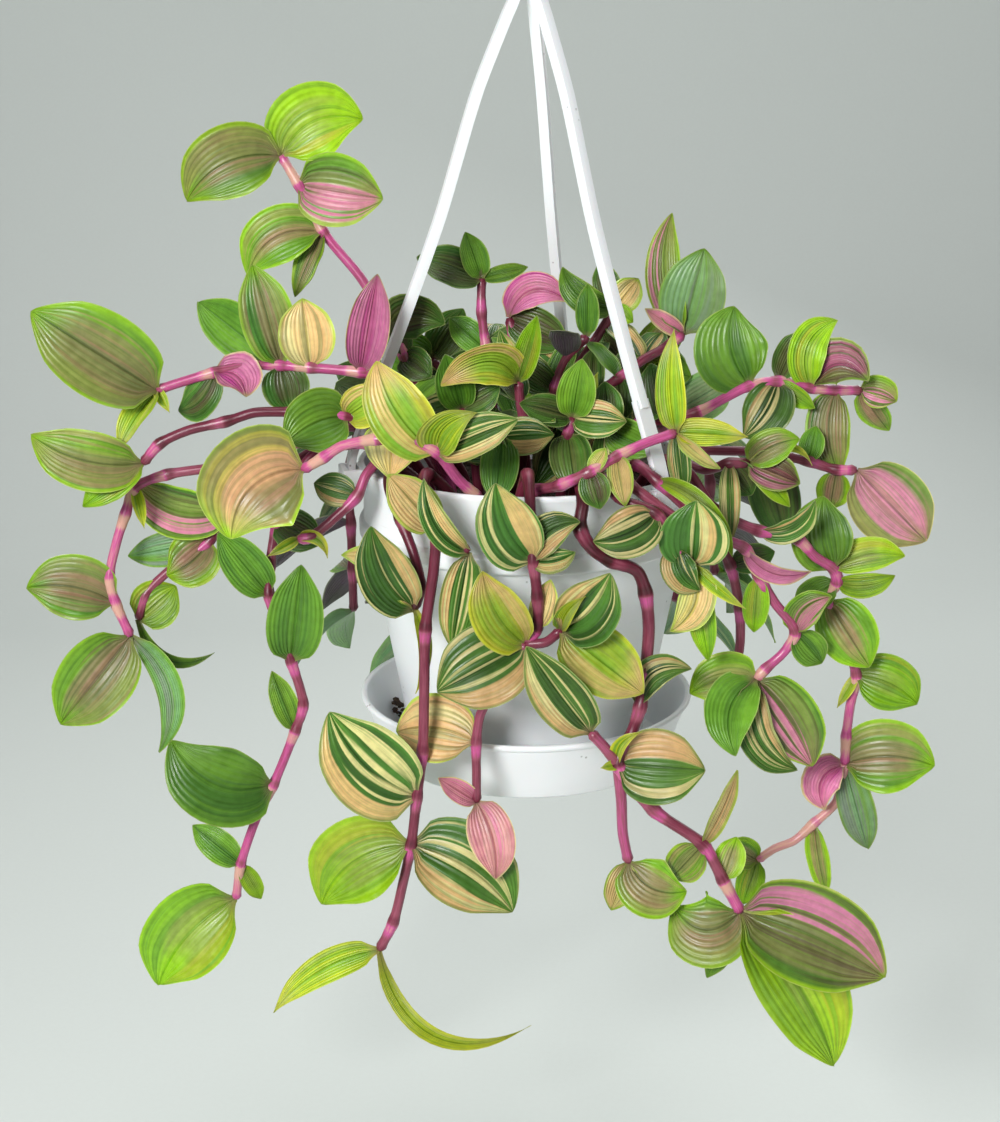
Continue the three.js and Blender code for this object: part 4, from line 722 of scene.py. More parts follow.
class PlantColours(bpy.types.PropertyGroup):
    """Colours of the leaves, stems and soil"""
    lime: colour("Lime", "Bright margin of the outer leaves", "9bc93c")
    fresh: colour("Fresh green", "Light green of the outer leaves", "78a63e")
    leaf: colour("Leaf green", "Plain leaf green", "4f7c34")
    deep: colour("Deep green", "Dark green between the pale stripes", "32511f")
    yellow: colour("Yellow green", "Leaves that got much light", "b3ae44")
    young: colour("Young leaf", "Yellow of unfolding leaves", "c9d145")
    olive: colour("Olive", "Green that shows through the mauve", "6f7443")
    mauve: colour("Mauve", "Muted centre of the outer leaves", "957b62")
    rose: colour("Rose", "Pink flush of the centre", "bb7f76")
    pink: colour("Pink", "Broad pink sectors", "da8aa6")
    wine: colour("Wine", "Dark red-brown leaf green", "50342f")
    cream: colour("Cream", "Pale stripes without green", "d9cf92")
    peach: colour("Peach", "Broad pale sectors, warm", "d8b47e")
    silver: colour("Underside", "Dull silvery green underside", "88b184")
    purple: colour("Purple underside", "Violet flush of the underside", "8b7590")
    stem_dark: colour("Stem, dark", "Old stems deep in the plant", "381416")
    stem_red: colour("Stem, red", "Stems in the middle of the plant", "6d2339")
    stem_dusty: colour("Stem, dusty", "Stems between red and pink, dull", "8f4659")
    stem_pink: colour("Stem, pink", "Bright outer stems", "c04e8c")
    stem_pale: colour("Stem, pale", "Young stem ends and sheaths", "cd9c8c")
    soil: colour("Soil", "Moist peat", "2b1f16")
    crumbs: colour("Crumbs", "Dry crumbs and bark", "59432f")


class PlantSizes(bpy.types.PropertyGroup):
    """Sizes of the leaves and stems"""
    blade: length("Blade thickness", "Thickness of a blade at its midrib", 0.62)
    margin: length("Margin thickness", "Thickness of a blade at its margin", 0.3)
    wave: length("Margin wave", "How far the margin waves up and down", 0.6)
    pleat: length("Pleats", "How far the blade rises between its long veins", 0.13)
    stem: length("Stem radius", "Radius of a stem between its joints", 2.35)
    crumb: length("Crumb", "Size of the soil's crumbs", 2.2)
    joint_swelling: bpy.props.FloatProperty(
        name="Joint swelling", description="How much thicker the stem is at a joint", subtype="FACTOR",
        min=0, max=1, default=0.26)
    rows: bpy.props.IntProperty(
        name="Rows", description="Rows of faces along a blade", min=6, max=40, default=22)
    columns: bpy.props.IntProperty(
        name="Columns", description="Columns of faces across a blade", min=4, max=24, default=20)


class PotSettings(bpy.types.PropertyGroup):
    """Sizes and colour of the pot, saucer and hanger"""
    plastic: colour("White plastic", "Polypropylene of the pot and hanger", "eff2f4")
    dust: colour("Dust", "Dirt and faint scuffs on the plastic", "8c8375")
    edge: length("Edge rounding", "Radius of the moulded edges", 0.5)
    steps: bpy.props.IntProperty(
        name="Steps", description="Steps round the pot", min=24, max=256, default=112)


class StageSettings(bpy.types.PropertyGroup):
    """Floor, light and camera"""
    floor: length("Floor below hook", "How far the floor lies below the hook", 640)
    pale: colour("Backdrop", "Pale floor and backdrop", "d2d8d4")
    lens: bpy.props.FloatProperty(
        name="Focal length", description="Focal length of the camera in millimetres", min=10, default=59.1)
    pitch: bpy.props.FloatProperty(
        name="Pitch", description="How far the camera looks down", subtype="ANGLE", default=0.2814)


# Shaders
# The nodes that the finishes are made of, by what they do: type, the sockets they are fed by in this order,
# the output they give, and settings.
NODES = {
    "sum": ("Math", (0, 1), 0, {"operation": "ADD"}),
    "less": ("Math", (0, 1), 0, {"operation": "SUBTRACT"}),
    "times": ("Math", (0, 1), 0, {"operation": "MULTIPLY"}),
    "scaled": ("Math", (0, 1, 2), 0, {"operation": "MULTIPLY_ADD"}),
    "unsigned": ("Math", (0,), 0, {"operation": "ABSOLUTE"}),
    "fraction": ("Math", (0,), 0, {"operation": "FRACT"}),
    "sine": ("Math", (0,), 0, {"operation": "SINE"}),
    "step": ("MapRange", (0, 1, 2, 3, 4), 0, {"interpolation_type": "SMOOTHSTEP"}),
    "mix": ("Mix", (0, 6, 7), 2, {"data_type": "RGBA"}),
    "stain": ("Mix", (0, 6, 7), 2, {"data_type": "RGBA", "blend_type": "MULTIPLY"}),
    "tone": ("HueSaturation", ("Hue", "Saturation", "Value", "Color"), 0, {}),
    "ramp": ("ValToRGB", (0,), 0, {}),
    "noise": ("TexNoise", ("Vector", "Scale", "Detail", "Roughness"), 0, {}),
    "dots": ("TexVoronoi", ("Vector", "Scale"), 0, {}),
    "bump": ("Bump", ("Strength", "Distance", "Height"), 0, {}),
    "place": ("TexCoord", (), "Object", {}),
    "stretched": ("Mapping", ("Vector", "Scale"), 0, {}),
    "joined": ("CombineXYZ", (0, 1, 2), 0, {}),
    "parts": ("SeparateXYZ", (0,), 0, {}),
    "held": ("Attribute", (), "Vector", {}),
}


def feed(node, values):
    """Fill a node's sockets, each with a socket to link, a colour or a number."""
    for name, value in values.items():
        socket = node.inputs[name]
        if isinstance(value, bpy.types.NodeSocket):
            node.id_data.links.new(value, socket)
        else:
            socket.default_value = (*value, 1) if socket.type == "RGBA" else value


def add_node(tree, work, *fed, **settings):
    """One shader node with its settings and what feeds it. Gives its output."""
    kind, sockets, output, usual = NODES[work]
    made = tree.nodes.new("ShaderNode" + kind)
    for name, value in {**usual, **settings}.items():
        setattr(made, name, value)
    feed(made, dict(zip(sockets, fed)))
    return made.outputs[output]


def start_material(name):
    """A new material, its surface, and add_node for it."""
    made = bpy.data.materials.new(name)
    made.use_nodes = True
    return made, made.node_tree.nodes["Principled BSDF"], partial(add_node, made.node_tree)


def per_metre(size):
    """The scale of a pattern that repeats every so many millimetres."""
    return 1 / (size * MM)


# Leaf finishes. field and second mix in long soft streaks. core fills the middle of the blade to core_width
# of its half width and core_end of its length. line draws narrow stripes. sector fills one side outwards from
# sector_at, at least sector_least wide and split where the streaks fall below sector_parted. flush comes in
# towards the tip. rim fades in from the margin over rim_width millimetres.
FINISH = (
    "field", "second", "core", "core_share", "core_width", "core_end", "line", "lines", "stripes", "sector",
    "sector_share", "sector_at", "flush", "flush_share", "rim", "rim_width", "under", "sector_least",
    "sector_parted")
PLAIN_SECTOR = {"sector_least": 0.22, "sector_parted": 0.57}
LEAVES = {kind: {**PLAIN_SECTOR, **dict(zip(FINISH, row))} for kind, row in {
    "mauve": ("fresh", "leaf", "mauve", 0.88, 0.5, 0.84, "rose", 0.35, 2.2, "rose", 0.3, 0.35, "lime", 0.3,
              "lime", 1.9, "silver"),
    "lime": ("fresh", "lime", "mauve", 0.45, 0.5, 0.7, "leaf", 0.4, 2.6, "yellow", 0.6, 0.45, "lime", 0.6,
             "lime", 1.8, "silver"),
    "gold": ("yellow", "fresh", "fresh", 0.55, 0.4, 0.75, "olive", 0.3, 2.4, "peach", 0.7, 0.42, "peach",
             0.95, "young", 1.0, "silver"),
    "blush": ("peach", "olive", "rose", 0.55, 0.45, 0.85, "olive", 0.45, 2.4, "yellow", 0.5, 0.5, "lime",
              0.4, "lime", 2.2, "silver"),
    "stripe": ("deep", "leaf", "deep", 0.3, 0.3, 0.9, "cream", 0.9, 2.7, "peach", 0.97, 0.38, "fresh", 0.3,
               "leaf", 0.9, "silver"),
    "peach": ("peach", "cream", "peach", 0.4, 0.6, 0.9, "olive", 0.6, 2.6, "peach", 0.8, 0.1, "peach", 0.4,
              "lime", 1.0, "peach"),
    "green": ("leaf", "fresh", "leaf", 0.5, 0.6, 0.9, "deep", 0.3, 2.2, "fresh", 0.35, 0.5, "fresh", 0.4,
              "fresh", 0.9, "silver"),
    # dark: the leaves' own dark green with a wine core, made darker still as painted shade for leaves deep in
    # the crown
    "dark": ("deep", "leaf", "wine", 0.7, 0.45, 0.8, "olive", 0.4, 2.4, "wine", 0.5, 0.3, "leaf", 0.4,
             "leaf", 1.0, "purple"),
    "pink": ("pink", "stem_pink", "rose", 0.4, 0.4, 0.8, "mauve", 0.3, 2.6, "pink", 0.7, 0.2, "rose", 0.4,
             "cream", 0.6, "pink"),
    "half": ("leaf", "fresh", "mauve", 0.5, 0.6, 0.95, "wine", 0.5, 2.6, "pink", 0.95, 0.0, "rose", 0.3,
             "lime", 1.3, "rose", 1.1, 0.5),
    "flushed": ("fresh", "leaf", "pink", 0.9, 0.55, 0.95, "mauve", 0.5, 2.6, "rose", 0.3, 0.4, "rose", 0.3,
                "cream", 0.7, "silver"),
    "russet": ("wine", "olive", "stem_dusty", 0.8, 0.5, 0.95, "wine", 0.6, 2.6, "stem_pink", 0.5, 0.1,
               "wine", 0.3, "fresh", 1.1, "purple"),
    "young": ("young", "fresh", "fresh", 0.4, 0.5, 0.8, "fresh", 0.5, 2.8, "cream", 0.3, 0.4, "cream", 0.6,
              "young", 1.0, "young"),
    "pale": ("silver", "fresh", "silver", 0.6, 0.6, 0.9, "purple", 0.4, 2.4, "purple", 0.3, 0.3, "fresh",
             0.4, "fresh", 1.0, "silver"),
}.items()}
TINTS = ("field", "second", "core", "line", "sector", "flush", "rim", "under")


def leaf_material(kind):
    """Waxy leaf cuticle: soft sheen, long streaks from base to tip, veins that stand a little proud."""
    finish = LEAVES[kind]
    tint = {key: getattr(bpy.context.scene.plant_colours, finish[key]) for key in TINTS}
    made, surface, add = start_material(CUTICLE + kind)
    u, v, margin = add("parts", add("held", attribute_name="blade")).node.outputs
    seed, under, shift = add("parts", add("held", attribute_name="leaf")).node.outputs

    def lot(factor, low, high):
        """Another number from low to high that is this leaf's own."""
        return add("scaled", add("fraction", add("times", seed, factor)), high - low, low)

    def streaks(across, along, offset, detail):
        """Noise drawn out from base to tip; across is how many streaks cross half the blade."""
        spread = add("joined", add("times", v, across), add("times", u, along),
                     add("scaled", seed, 37.0, offset))
        return add("noise", spread, 1.0, detail, 0.55)

    broad = streaks(finish["stripes"] * 0.7, 0.55, 0.0, 1.0)
    narrow = streaks(finish["stripes"] * 1.9, 0.35, 11.0, 1.0)
    hair = streaks(finish["stripes"] * 7.0, 1.1, 23.0, 3.0)
    rib = add("unsigned", v)

    # Soft streaks, the centre and the fine stripes
    shade = add("mix", add("step", broad, 0.38, 0.64), tint["field"], tint["second"])
    shade = add("mix", lot(8.3, -0.2, 0.5), shade, tint["rim"])
    half_core = add("times", lot(7.3, 0.6, 1.25), finish["core_width"])
    past_core = add("less", add("scaled", narrow, 0.7, -0.35), half_core)
    inside = add("step", add("sum", rib, past_core), 0.14, -0.14)
    before_tip = add("step", add("scaled", narrow, 0.4, u), finish["core_end"] + 0.3, finish["core_end"])
    strength = lot(3.7, 0.55 * finish["core_share"], finish["core_share"])
    core = add("times", add("times", inside, before_tip), strength)
    shade = add("mix", core, shade, tint["core"])
    shade = add("mix", add("times", add("step", narrow, 0.54, 0.6), finish["lines"]), shade, tint["line"])
    shade = add("mix", add("times", add("step", hair, 0.46, 0.66), 0.4), shade, tint["second"])

    # The pale or coloured sector of one side, split by stripes
    across = add("sum", v, add("scaled", broad, 0.3, -0.15))
    past = add("less", across, add("sum", shift, finish["sector_at"]))
    beyond = add("less", past, lot(5.9, finish["sector_least"], 1.6))
    band = add("times", add("step", past, -0.025, 0.025), add("step", beyond, 0.03, -0.03))
    parted = finish["sector_parted"]
    split = add("times", add("step", narrow, parted + 0.05, parted), band)
    filled = add("mix", add("step", hair, 0.4, 0.7, 0.0, 0.35), tint["sector"], tint["second"])
    shade = add("mix", add("times", split, finish["sector_share"]), shade, filled)

    # Towards the tip and the margin
    near_tip = add("step", add("scaled", broad, 0.5, u), 0.85, 1.3)
    shade = add("mix", add("times", near_tip, finish["flush_share"]), shade, tint["flush"])
    wide = finish["rim_width"]
    ragged = add("scaled", add("less", narrow, 0.5), wide * 3.0, margin)
    rim = add("step", ragged, add("times", lot(9.1, 0.8, 2.6), wide), wide * 0.2)
    shade = add("mix", add("times", rim, 0.8), shade, tint["rim"])
    shade = add("mix", add("times", add("step", margin, 0.6, 0.2), 0.3), shade, linear(THIN_EDGE))

    # The midrib, and the base with its painted shade
    shade = add("stain", add("times", add("step", rib, 0.05, 0.01), 0.5), shade, tint["second"])
    shade = add("mix", add("times", add("step", u, 0.12, 0.02), 0.5), shade, linear(LEAF_BASE))
    shade = add("mix", add("times", under, 0.6), shade, tint["under"])
    cells = add("noise", add("place"), per_metre(CUTICLE_MOTTLE), 3.0)
    value = add("times", add("step", cells, 0.25, 0.75, 0.88, 1.1), lot(2.3, 0.7, 1.12))
    # Painted shade: the blade darkens towards its base, to 0.74 of its value, for the shade where it clasps
    # the stem deep in the plant
    value = add("times", value, add("step", u, 0.0, 0.4, 0.74, 1.0))
    shade = add("tone", lot(4.1, 0.488, 0.508), 1.07, value, shade)
    veins = add("sine", add("times", v, 40.0))
    height = add("scaled", cells, 0.35, add("times", veins, 0.4))
    height = add("sum", height, add("times", hair, 0.8))
    height = add("sum", height, add("step", rib, 0.06, 0.0, 0.0, -1.4))
    feed(surface, {
        "Base Color": shade, "Normal": add("bump", 0.8, 0.00035, height), "IOR": 1.42,
        "Roughness": add("step", cells, 0.3, 0.7, 0.28, 0.42), "Subsurface Weight": 0.1,
        "Subsurface Radius": (0.6, 1.0, 0.3), "Subsurface Scale": 0.0015})
    return made


def stem_material():
    """Fleshy stem skin: watery gloss, fine lengthwise lines, wine red to pale pink."""
    colours = bpy.context.scene.plant_colours
    made, surface, add = start_material(STEM_SKIN)
    tone, around, along = add("parts", add("held", attribute_name="blade")).node.outputs
    drawn_out = add("joined", add("times", around, 9.0), add("times", along, 1 / STEM_STREAK))
    lines = add("noise", drawn_out, 1.0, 3.0, 0.6)
    ramp = add("ramp", add("sum", tone, add("step", lines, 0.34, 0.66, -0.07, 0.07)))
    bands = ramp.node.color_ramp
    bands.elements[0].color = (*colours.stem_dark, 1)
    bands.elements[1].color = (*colours.stem_pale, 1)
    for position, tint in ((0.34, colours.stem_red), (0.56, colours.stem_dusty), (0.76, colours.stem_pink)):
        bands.elements.new(position).color = (*tint, 1)
    feed(surface, {
        "Base Color": ramp, "Normal": add("bump", 0.4, 0.0002, lines),
        "Roughness": add("step", lines, 0.3, 0.7, 0.28, 0.42), "Subsurface Weight": 0.15,
        "Subsurface Radius": (1.0, 0.3, 0.3), "Subsurface Scale": 0.002})
    return made


def plastic_material():
    """Moulded polypropylene: satin white, faint scuffs round the pot, dust specks in sparse patches."""
    settings = bpy.context.scene.pot_settings
    made, surface, add = start_material(PLASTIC)
    place = add("place")
    clouds = add("noise", place, per_metre(PLASTIC_CLOUD), 4.0)
    flat = add("stretched", place, [per_metre(size) for size in SCUFF])
    scuffs = add("noise", flat, 1.0, 2.0, 0.7)
    specks = add("dots", place, per_metre(SPECK_GAP))
    sparse = add("noise", place, per_metre(SPECK_PATCH), 1.0)
    spot = add("times", add("step", specks, 0.16, 0.07), add("step", sparse, 0.62, 0.7))
    shade = add("mix", add("step", clouds, 0.35, 0.75, 0.0, 0.07), settings.plastic, settings.dust)
    shade = add("mix", add("step", scuffs, 0.66, 0.8, 0.0, 0.16), shade, settings.dust)
    shade = add("mix", add("times", spot, 0.75), shade, linear(SPECK))
    feed(surface, {
        "Base Color": shade, "Normal": add("bump", 0.25, 0.0001, scuffs), "IOR": 1.49,
        "Roughness": add("step", clouds, 0.3, 0.7, 0.3, 0.44), "Subsurface Weight": 0.08,
        "Subsurface Scale": 0.002})
    return made


def soil_material():
    """Moist peat with fine grain and clumps: matt, dark, uneven."""
    colours = bpy.context.scene.plant_colours
    made, surface, add = start_material(PEAT)
    place = add("place")
    grain = add("noise", place, per_metre(PEAT_GRAIN), 6.0, 0.7)
    clumps = add("dots", place, per_metre(PEAT_CLUMP))
    shade = add("mix", add("step", grain, 0.45, 0.7), colours.soil, colours.crumbs)
    height = add("scaled", clumps, 1.2, grain)
    feed(surface, {"Base Color": shade, "Normal": add("bump", 0.9, 0.001, height), "Roughness": 0.93})
    return made


def backdrop_material():
    """Matt paper sweep with a faint tooth."""
    made, surface, add = start_material(PAPER)
    tooth = add("noise", add("place"), per_metre(TOOTH_GAP), 3.0)
    pale = bpy.context.scene.stage_settings.pale
    shade = add("mix", add("step", tooth, 0.3, 0.7, 0.0, 0.04), pale, linear(PAPER_TOOTH))
    feed(surface, {"Base Color": shade, "Roughness": 0.9})
    return made


def material(name, make, *given):
    """One material for all the pieces that share a finish."""
    found = bpy.data.materials.get(name)
    return found or make(*given)


# Pieces
def object_of(mesh, name, materials):
    """An object at the origin from a mesh in metres."""
    data = bpy.data.meshes.new(name)
    mesh.to_mesh(data)
    mesh.free()
    for each in materials:
        data.materials.append(each)
    made = bpy.data.objects.new(name, data)
    bpy.context.collection.objects.link(made)
    return made


def finish_piece(mesh, name, nodes, materials):
    """One piece of the plant or pot, in place of its CAD nodes."""
    made = object_of(mesh, name, materials)
    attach(made, "root")
    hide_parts(*nodes)
    return made


def edges_of(corners):
    return list({edge for corner in corners for edge in corner.link_edges})


def extruded(mesh, edges):
    """The corners and the edges of the row that edges are extruded into."""
    grown = bmesh.ops.extrude_edge_only(mesh, edges=edges)["geom"]
    kinds = (bmesh.types.BMVert, bmesh.types.BMEdge)
    return [[item for item in grown if isinstance(item, kind)] for kind in kinds]


def rounded(mesh, edges, offset, segments=2, clamp=True):
    return bmesh.ops.bevel(
        mesh, geom=edges, offset=offset, offset_type="OFFSET", affect="EDGES", segments=segments, profile=0.5,
        material=-1, clamp_overlap=clamp)


def creased(edges, angle):
    """A crease at each edge that is sharper than angle."""
    for edge in edges:
        if len(edge.link_faces) == 2 and edge.calc_face_angle(0) > angle:
            edge.smooth = False


def to_metres(mesh):
    """Smooth faces, in metres from the hook."""
    for face in mesh.faces:
        face.smooth = True
    bmesh.ops.transform(mesh, matrix=TO_FRAME, verts=mesh.verts)


def smooth_route(places, spacing):
    """A smooth line through places: its own places, how far along each is, and how far the given ones are."""
    count = len(places)
    route, travelled, marks = [places[0].copy()], [0.0], [0.0]
    for i in range(count - 1):
        start, end = places[i], places[i + 1]
        gap = (end - start).length
        before = (end - places[i - 1]).normalized() if i else (end - start).normalized()
        after = (places[i + 2] - start).normalized() if i + 2 < count else (end - start).normalized()
        steps = max(2, round(gap / spacing) + 1)
        pull = gap * 0.26
        bow = geometry.interpolate_bezier(start, start + before * pull, end - after * pull, end, steps)
        for point in bow[1:]:
            travelled.append(travelled[-1] + (point - route[-1]).length)
            route.append(point)
        marks.append(travelled[-1])
    return route, travelled, marks


def heading_at(route, i):
    return (route[min(i + 1, len(route) - 1)] - route[max(i - 1, 0)]).normalized()


def ring_frames(route):
    """A frame that doesn't twist at each place of a route."""
    frames = []
    tangent = (route[1] - route[0]).normalized()
    turn = Vector((0, 0, 1)).rotation_difference(tangent)
    for i, place in enumerate(route):
        ahead = heading_at(route, i)
        turn = tangent.rotation_difference(ahead) @ turn
        tangent = ahead
        frames.append(Matrix.Translation(place) @ turn.to_matrix().to_4x4())
    return frames


def upright_frames(route):
    """A frame at each place of a route in the plane y = 0, its own y axis kept."""
    frames = []
    side = Vector((0, 1, 0))
    for i, place in enumerate(route):
        ahead = heading_at(route, i)
        axes = Matrix((side.cross(ahead), side, ahead)).transposed().to_4x4()
        frames.append(Matrix.Translation(place) @ axes)
    return frames


def tube(mesh, frames, sides, radius_at=lambda i: 1.0, section=None, mark=None):
    """A bar with a ring at each frame, closed at both ends. radius_at takes the number of the frame, section
    moves the first ring's corners, and mark is called with each ring's corners."""
    ring = bmesh.ops.create_circle(mesh, cap_ends=True, segments=sides, radius=1.0)["verts"]
    if section:
        for corner in ring:
            corner.co = section(corner.co)
    edges = edges_of(ring)
    placed = Matrix.Identity(4)
    for i, place in enumerate(frames):
        if i:
            ring, edges = extruded(mesh, edges)
        target = place @ Matrix.Scale(radius_at(i), 4)
        bmesh.ops.transform(mesh, matrix=target @ placed.inverted(), verts=ring)
        placed = target
        if mark:
            mark(i, ring)
    bmesh.ops.contextual_create(mesh, geom=edges)


# Stems and leaves
def seen(place):
    x, z, near = place
    share = near / EYE_AHEAD
    return Vector((x + (EYE.x - x) * share, -near, z + (EYE.z - z) * share))


def new_leaf(base, tip, toward, face, width, kind, **more):
    """A leaf. toward is the way it gives when it has no room, face the way its upper side looks."""
    return {"base": base, "tip": tip, "toward": toward, "face": face, "width": width, "kind": kind, "roll": 0,
            "sweep": 0, "fold": PLAIN_FOLD, "seen": False, "lift": 0, **more}


def seen_leaf(stem, row):
    place, x, z, ahead, width, roll, bend, sweep, kind = row
    near = stem[place][2]
    base = seen(stem[place])
    tip = seen((x, z, near + ahead))
    return new_leaf(base, tip, (EYE - tip).normalized(), (EYE - base).normalized(),
                    width * (1 - near / EYE_AHEAD), kind, roll=roll, bend=bend, sweep=sweep,
                    fold=FOLD.get(kind, PLAIN_FOLD), seen=True)


def root_places(x, y):
    return [Vector((x, y, SOIL_TOP - ROOT_DEPTH)), Vector((x, y, SOIL_TOP + 4))]


def around_pot(degrees, radius, z):
    angle = math.radians(degrees)
    return Vector((radius * math.cos(angle), radius * math.sin(angle), z))


def repeatable_shares(value):
    """Numbers between 0 and 1, the same ones at every run and in the CAD."""
    while True:
        value = value * 16807 % 2147483647
        yield value / 2147483647


def back_shoot(degrees, drop, number, shares):
    """The stem and the leaves of one shoot of the far side."""
    places = [around_pot(degrees, radius, z) for radius, z in BACK_CROWN]
    heading = degrees
    z = BACK_CROWN[-1][1] - BACK_STEP
    while z > -drop:
        heading += (next(shares) - 0.5) * BACK_SWING
        places.append(around_pot(heading, 90 + next(shares) * 4, z))
        z -= BACK_STEP
    leaves = []
    for i, base in enumerate(places[1:]):
        last = i == len(places) - 2
        for sideways in ([-1, 1] if last else [1 if (i + number) % 2 else -1]):
            reach = BACK_LEAF["length"] + next(shares) * BACK_LEAF["spread"]
            out = around_pot(heading, 1, 0)
            across = Vector((-out.y, out.x, 0))
            tip = (base + across * sideways * reach * (0.6 if last else 0.8)
                   + out * reach * (0.2 if i < 2 else 0.42))
            tip.z += reach * (0.45 if i < 2 else -0.6 if last else -0.2 - next(shares) * 0.25)
            leaves.append(new_leaf(
                base, tip, (out + Vector((0, 0, 0.5))).normalized(), (out + Vector((0, 0, 0.6))).normalized(),
                BACK_LEAF["width"] + next(shares) * BACK_LEAF["more"],
                BACK_KINDS[(number + i) % len(BACK_KINDS)], bend=BACK_LEAF["bend"]))
    root = around_pot(degrees, BACK_ROOT_RADIUS, 0)
    return [*root_places(root.x, root.y), *places], leaves


def tried(leaf, ahead, roll, turn, size):
    chord = leaf["tip"] - leaf["base"]
    chord.rotate(Quaternion(leaf["toward"], math.radians(turn)))
    return {**leaf, "tip": leaf["base"] + chord * size + leaf["toward"] * ahead,
            "width": leaf["width"] * size, "roll": leaf["roll"] + roll}


def blade_frame(leaf):
    chord = leaf["tip"] - leaf["base"]
    reach = chord.length
    along = chord / reach
    up = (leaf["face"] - along * leaf["face"].dot(along)).normalized()
    up.rotate(Quaternion(along, math.radians(leaf["roll"])))
    return reach, along, up, up.cross(along)


def outline_share(leaf, u):
    """Half width of a blade at u along it, as a share of the widest."""
    taper = TIP_TAPER.get(leaf["kind"], PLAIN_TAPER) if leaf["seen"] else PLAIN_TAPER
    widest = (BASE_TAPER - taper * BASE_START) / (BASE_TAPER + taper)
    ratio = (1 - u) / (1 - widest)
    return ratio ** taper * ((u + BASE_START) / (widest + BASE_START)) ** BASE_TAPER


def drawn_tip(u):
    """How much the real blade narrows to its point."""
    return 1 - TIP_POINT * max(0, (u - 0.72) / 0.28) ** 1.5


def blade_row(leaf, axes, u):
    """Middle, directions and fold of a blade at u along it."""
    reach, along, up, side = axes
    bend = math.radians(leaf["bend"])
    radius = reach / (2 * math.sin(bend / 2))
    turn = bend / 2 - bend * u
    tangent = along * math.cos(turn) + up * math.sin(turn)
    normal = up * math.cos(turn) - along * math.sin(turn)
    middle = (leaf["base"] + along * radius * (math.sin(bend / 2) - math.sin(turn))
              + up * radius * (math.cos(turn) - math.cos(bend / 2))
              + side * leaf["sweep"] * reach * 4 * u * (1 - u) + up * leaf["lift"] * u)
    veer = math.atan(4 * leaf["sweep"] * (1 - 2 * u))
    across = side * math.cos(veer) - tangent * math.sin(veer)
    fold = math.radians(leaf["fold"] + (CLASP_FOLD - leaf["fold"]) * (1 - u) ** 5)
    return middle, across, normal, fold


def as_packed(leaf, corners):
    """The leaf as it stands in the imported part, whose corners are given, or None where it was left out."""
    best = None
    for way in TRIES:
        trial = tried(leaf, *way)
        axes = blade_frame(trial)
        rows = CAD_ROWS["long" if axes[0] > LONG_LEAF else "middle" if axes[0] > SHORT_LEAF else "short"]
        rise = 1 if trial["width"] > CHANNELLED_WIDTH else CAD_FLAT_RISE
        misses = []
        for u in rows:
            middle, across, normal, fold = blade_row(trial, axes, u)
            half = max(0.5, trial["width"] / 2 * outline_share(trial, u))
            for v in (-1, 1):
                for lift in (-CAD_HALF_BLADE, CAD_HALF_BLADE):
                    corner = (middle + across * v * half * math.cos(fold)
                              + normal * (half * math.sin(fold) * rise + lift))
                    misses.append(corners.find(corner)[2])
        misses.sort()
        miss = sum(misses[:len(misses) * 2 // 3])
        if best is None or miss < best[0]:
            best = (miss, trial, len(misses))
        if miss < SAME_LEAF * len(misses):
            break
    miss, trial, count = best
    return trial if miss < OTHER_LEAF * count else None


def half_width(leaf, u):
    broad = min(1, u / 0.12)
    return max(0.25, leaf["width"] / 2 * outline_share(leaf, u) * drawn_tip(u) * broad + 1.9 * (1 - broad))


def blade_place(leaf, row, half, v):
    """A place on the blade's middle surface, v from one margin at -1 to the other at 1."""
    middle, across, normal, fold = row
    deep, rest = (1, 0) if leaf["width"] > CHANNELLED_WIDTH else (0.75, -0.15)
    return (middle + across * v * half * math.cos(fold)
            + normal * half * math.sin(fold) * (deep * abs(v) ** 1.45 + rest))


def coarse_blade(leaf):
    """The blade's middle surface as a search tree, and its box."""
    axes = blade_frame(leaf)
    shares = (-1, -0.5, 0, 0.5, 1)
    places = []
    for u in (0.2, 0.32, 0.44, 0.56, 0.68, 0.8, 0.9, 0.98):
        row = blade_row(leaf, axes, u)
        places += [blade_place(leaf, row, half_width(leaf, u), v) for v in shares]
    wide = len(shares)
    faces = [(i, i + 1, i + wide + 1, i + wide) for i in range(len(places) - wide) if i % wide < wide - 1]
    box = [[pick(place[axis] for place in places) for axis in range(3)] for pick in (min, max)]
    return BVHTree.FromPolygons(places, faces, epsilon=CLEAR), box, places


def in_pot(place):
    """Whether a place lies in the pot's wall, in the saucer or under it."""
    radius, z = place.xy.length, place.z
    if z < SAUCER_ROOM["top"]:
        return radius < SAUCER_ROOM["radius"] and z > SAUCER_ROOM["low"] or radius < SAUCER_ROOM["under"]
    rise = z - POT_ROOM["collar"]
    wall = POT_ROOM["collar_radius"] if rise > 0 else POT_ROOM["radius"] + rise * POT_ROOM["slope"]
    return z < POT_ROOM["top"] and radius < wall and not (radius < POT_ROOM["inside"] and z > SOIL_TOP)


def give_way(leaf, stood):
    """The leaf, lifted, rolled or made smaller until it crosses none of those that stand. Adds it to them."""
    kept = None
    for lift, roll, size in GIVE_WAY:
        trial = {**tried(leaf, 0, roll, 0, size), "lift": lift}
        tree, box, places = coarse_blade(trial)
        crossings = sum(in_pot(place) for place in places)
        for other, (low, high) in stood:
            if all(box[0][axis] < high[axis] and low[axis] < box[1][axis] for axis in range(3)):
                crossings += len(tree.overlap(other))
        cost = crossings + SHRINK_COST * (1 - size)
        if kept is None or cost < kept[0]:
            kept = (cost, crossings, trial, tree, box)
        if not crossings:
            break
    _, crossings, trial, tree, box = kept
    stood.append((tree, box))
    return trial, crossings


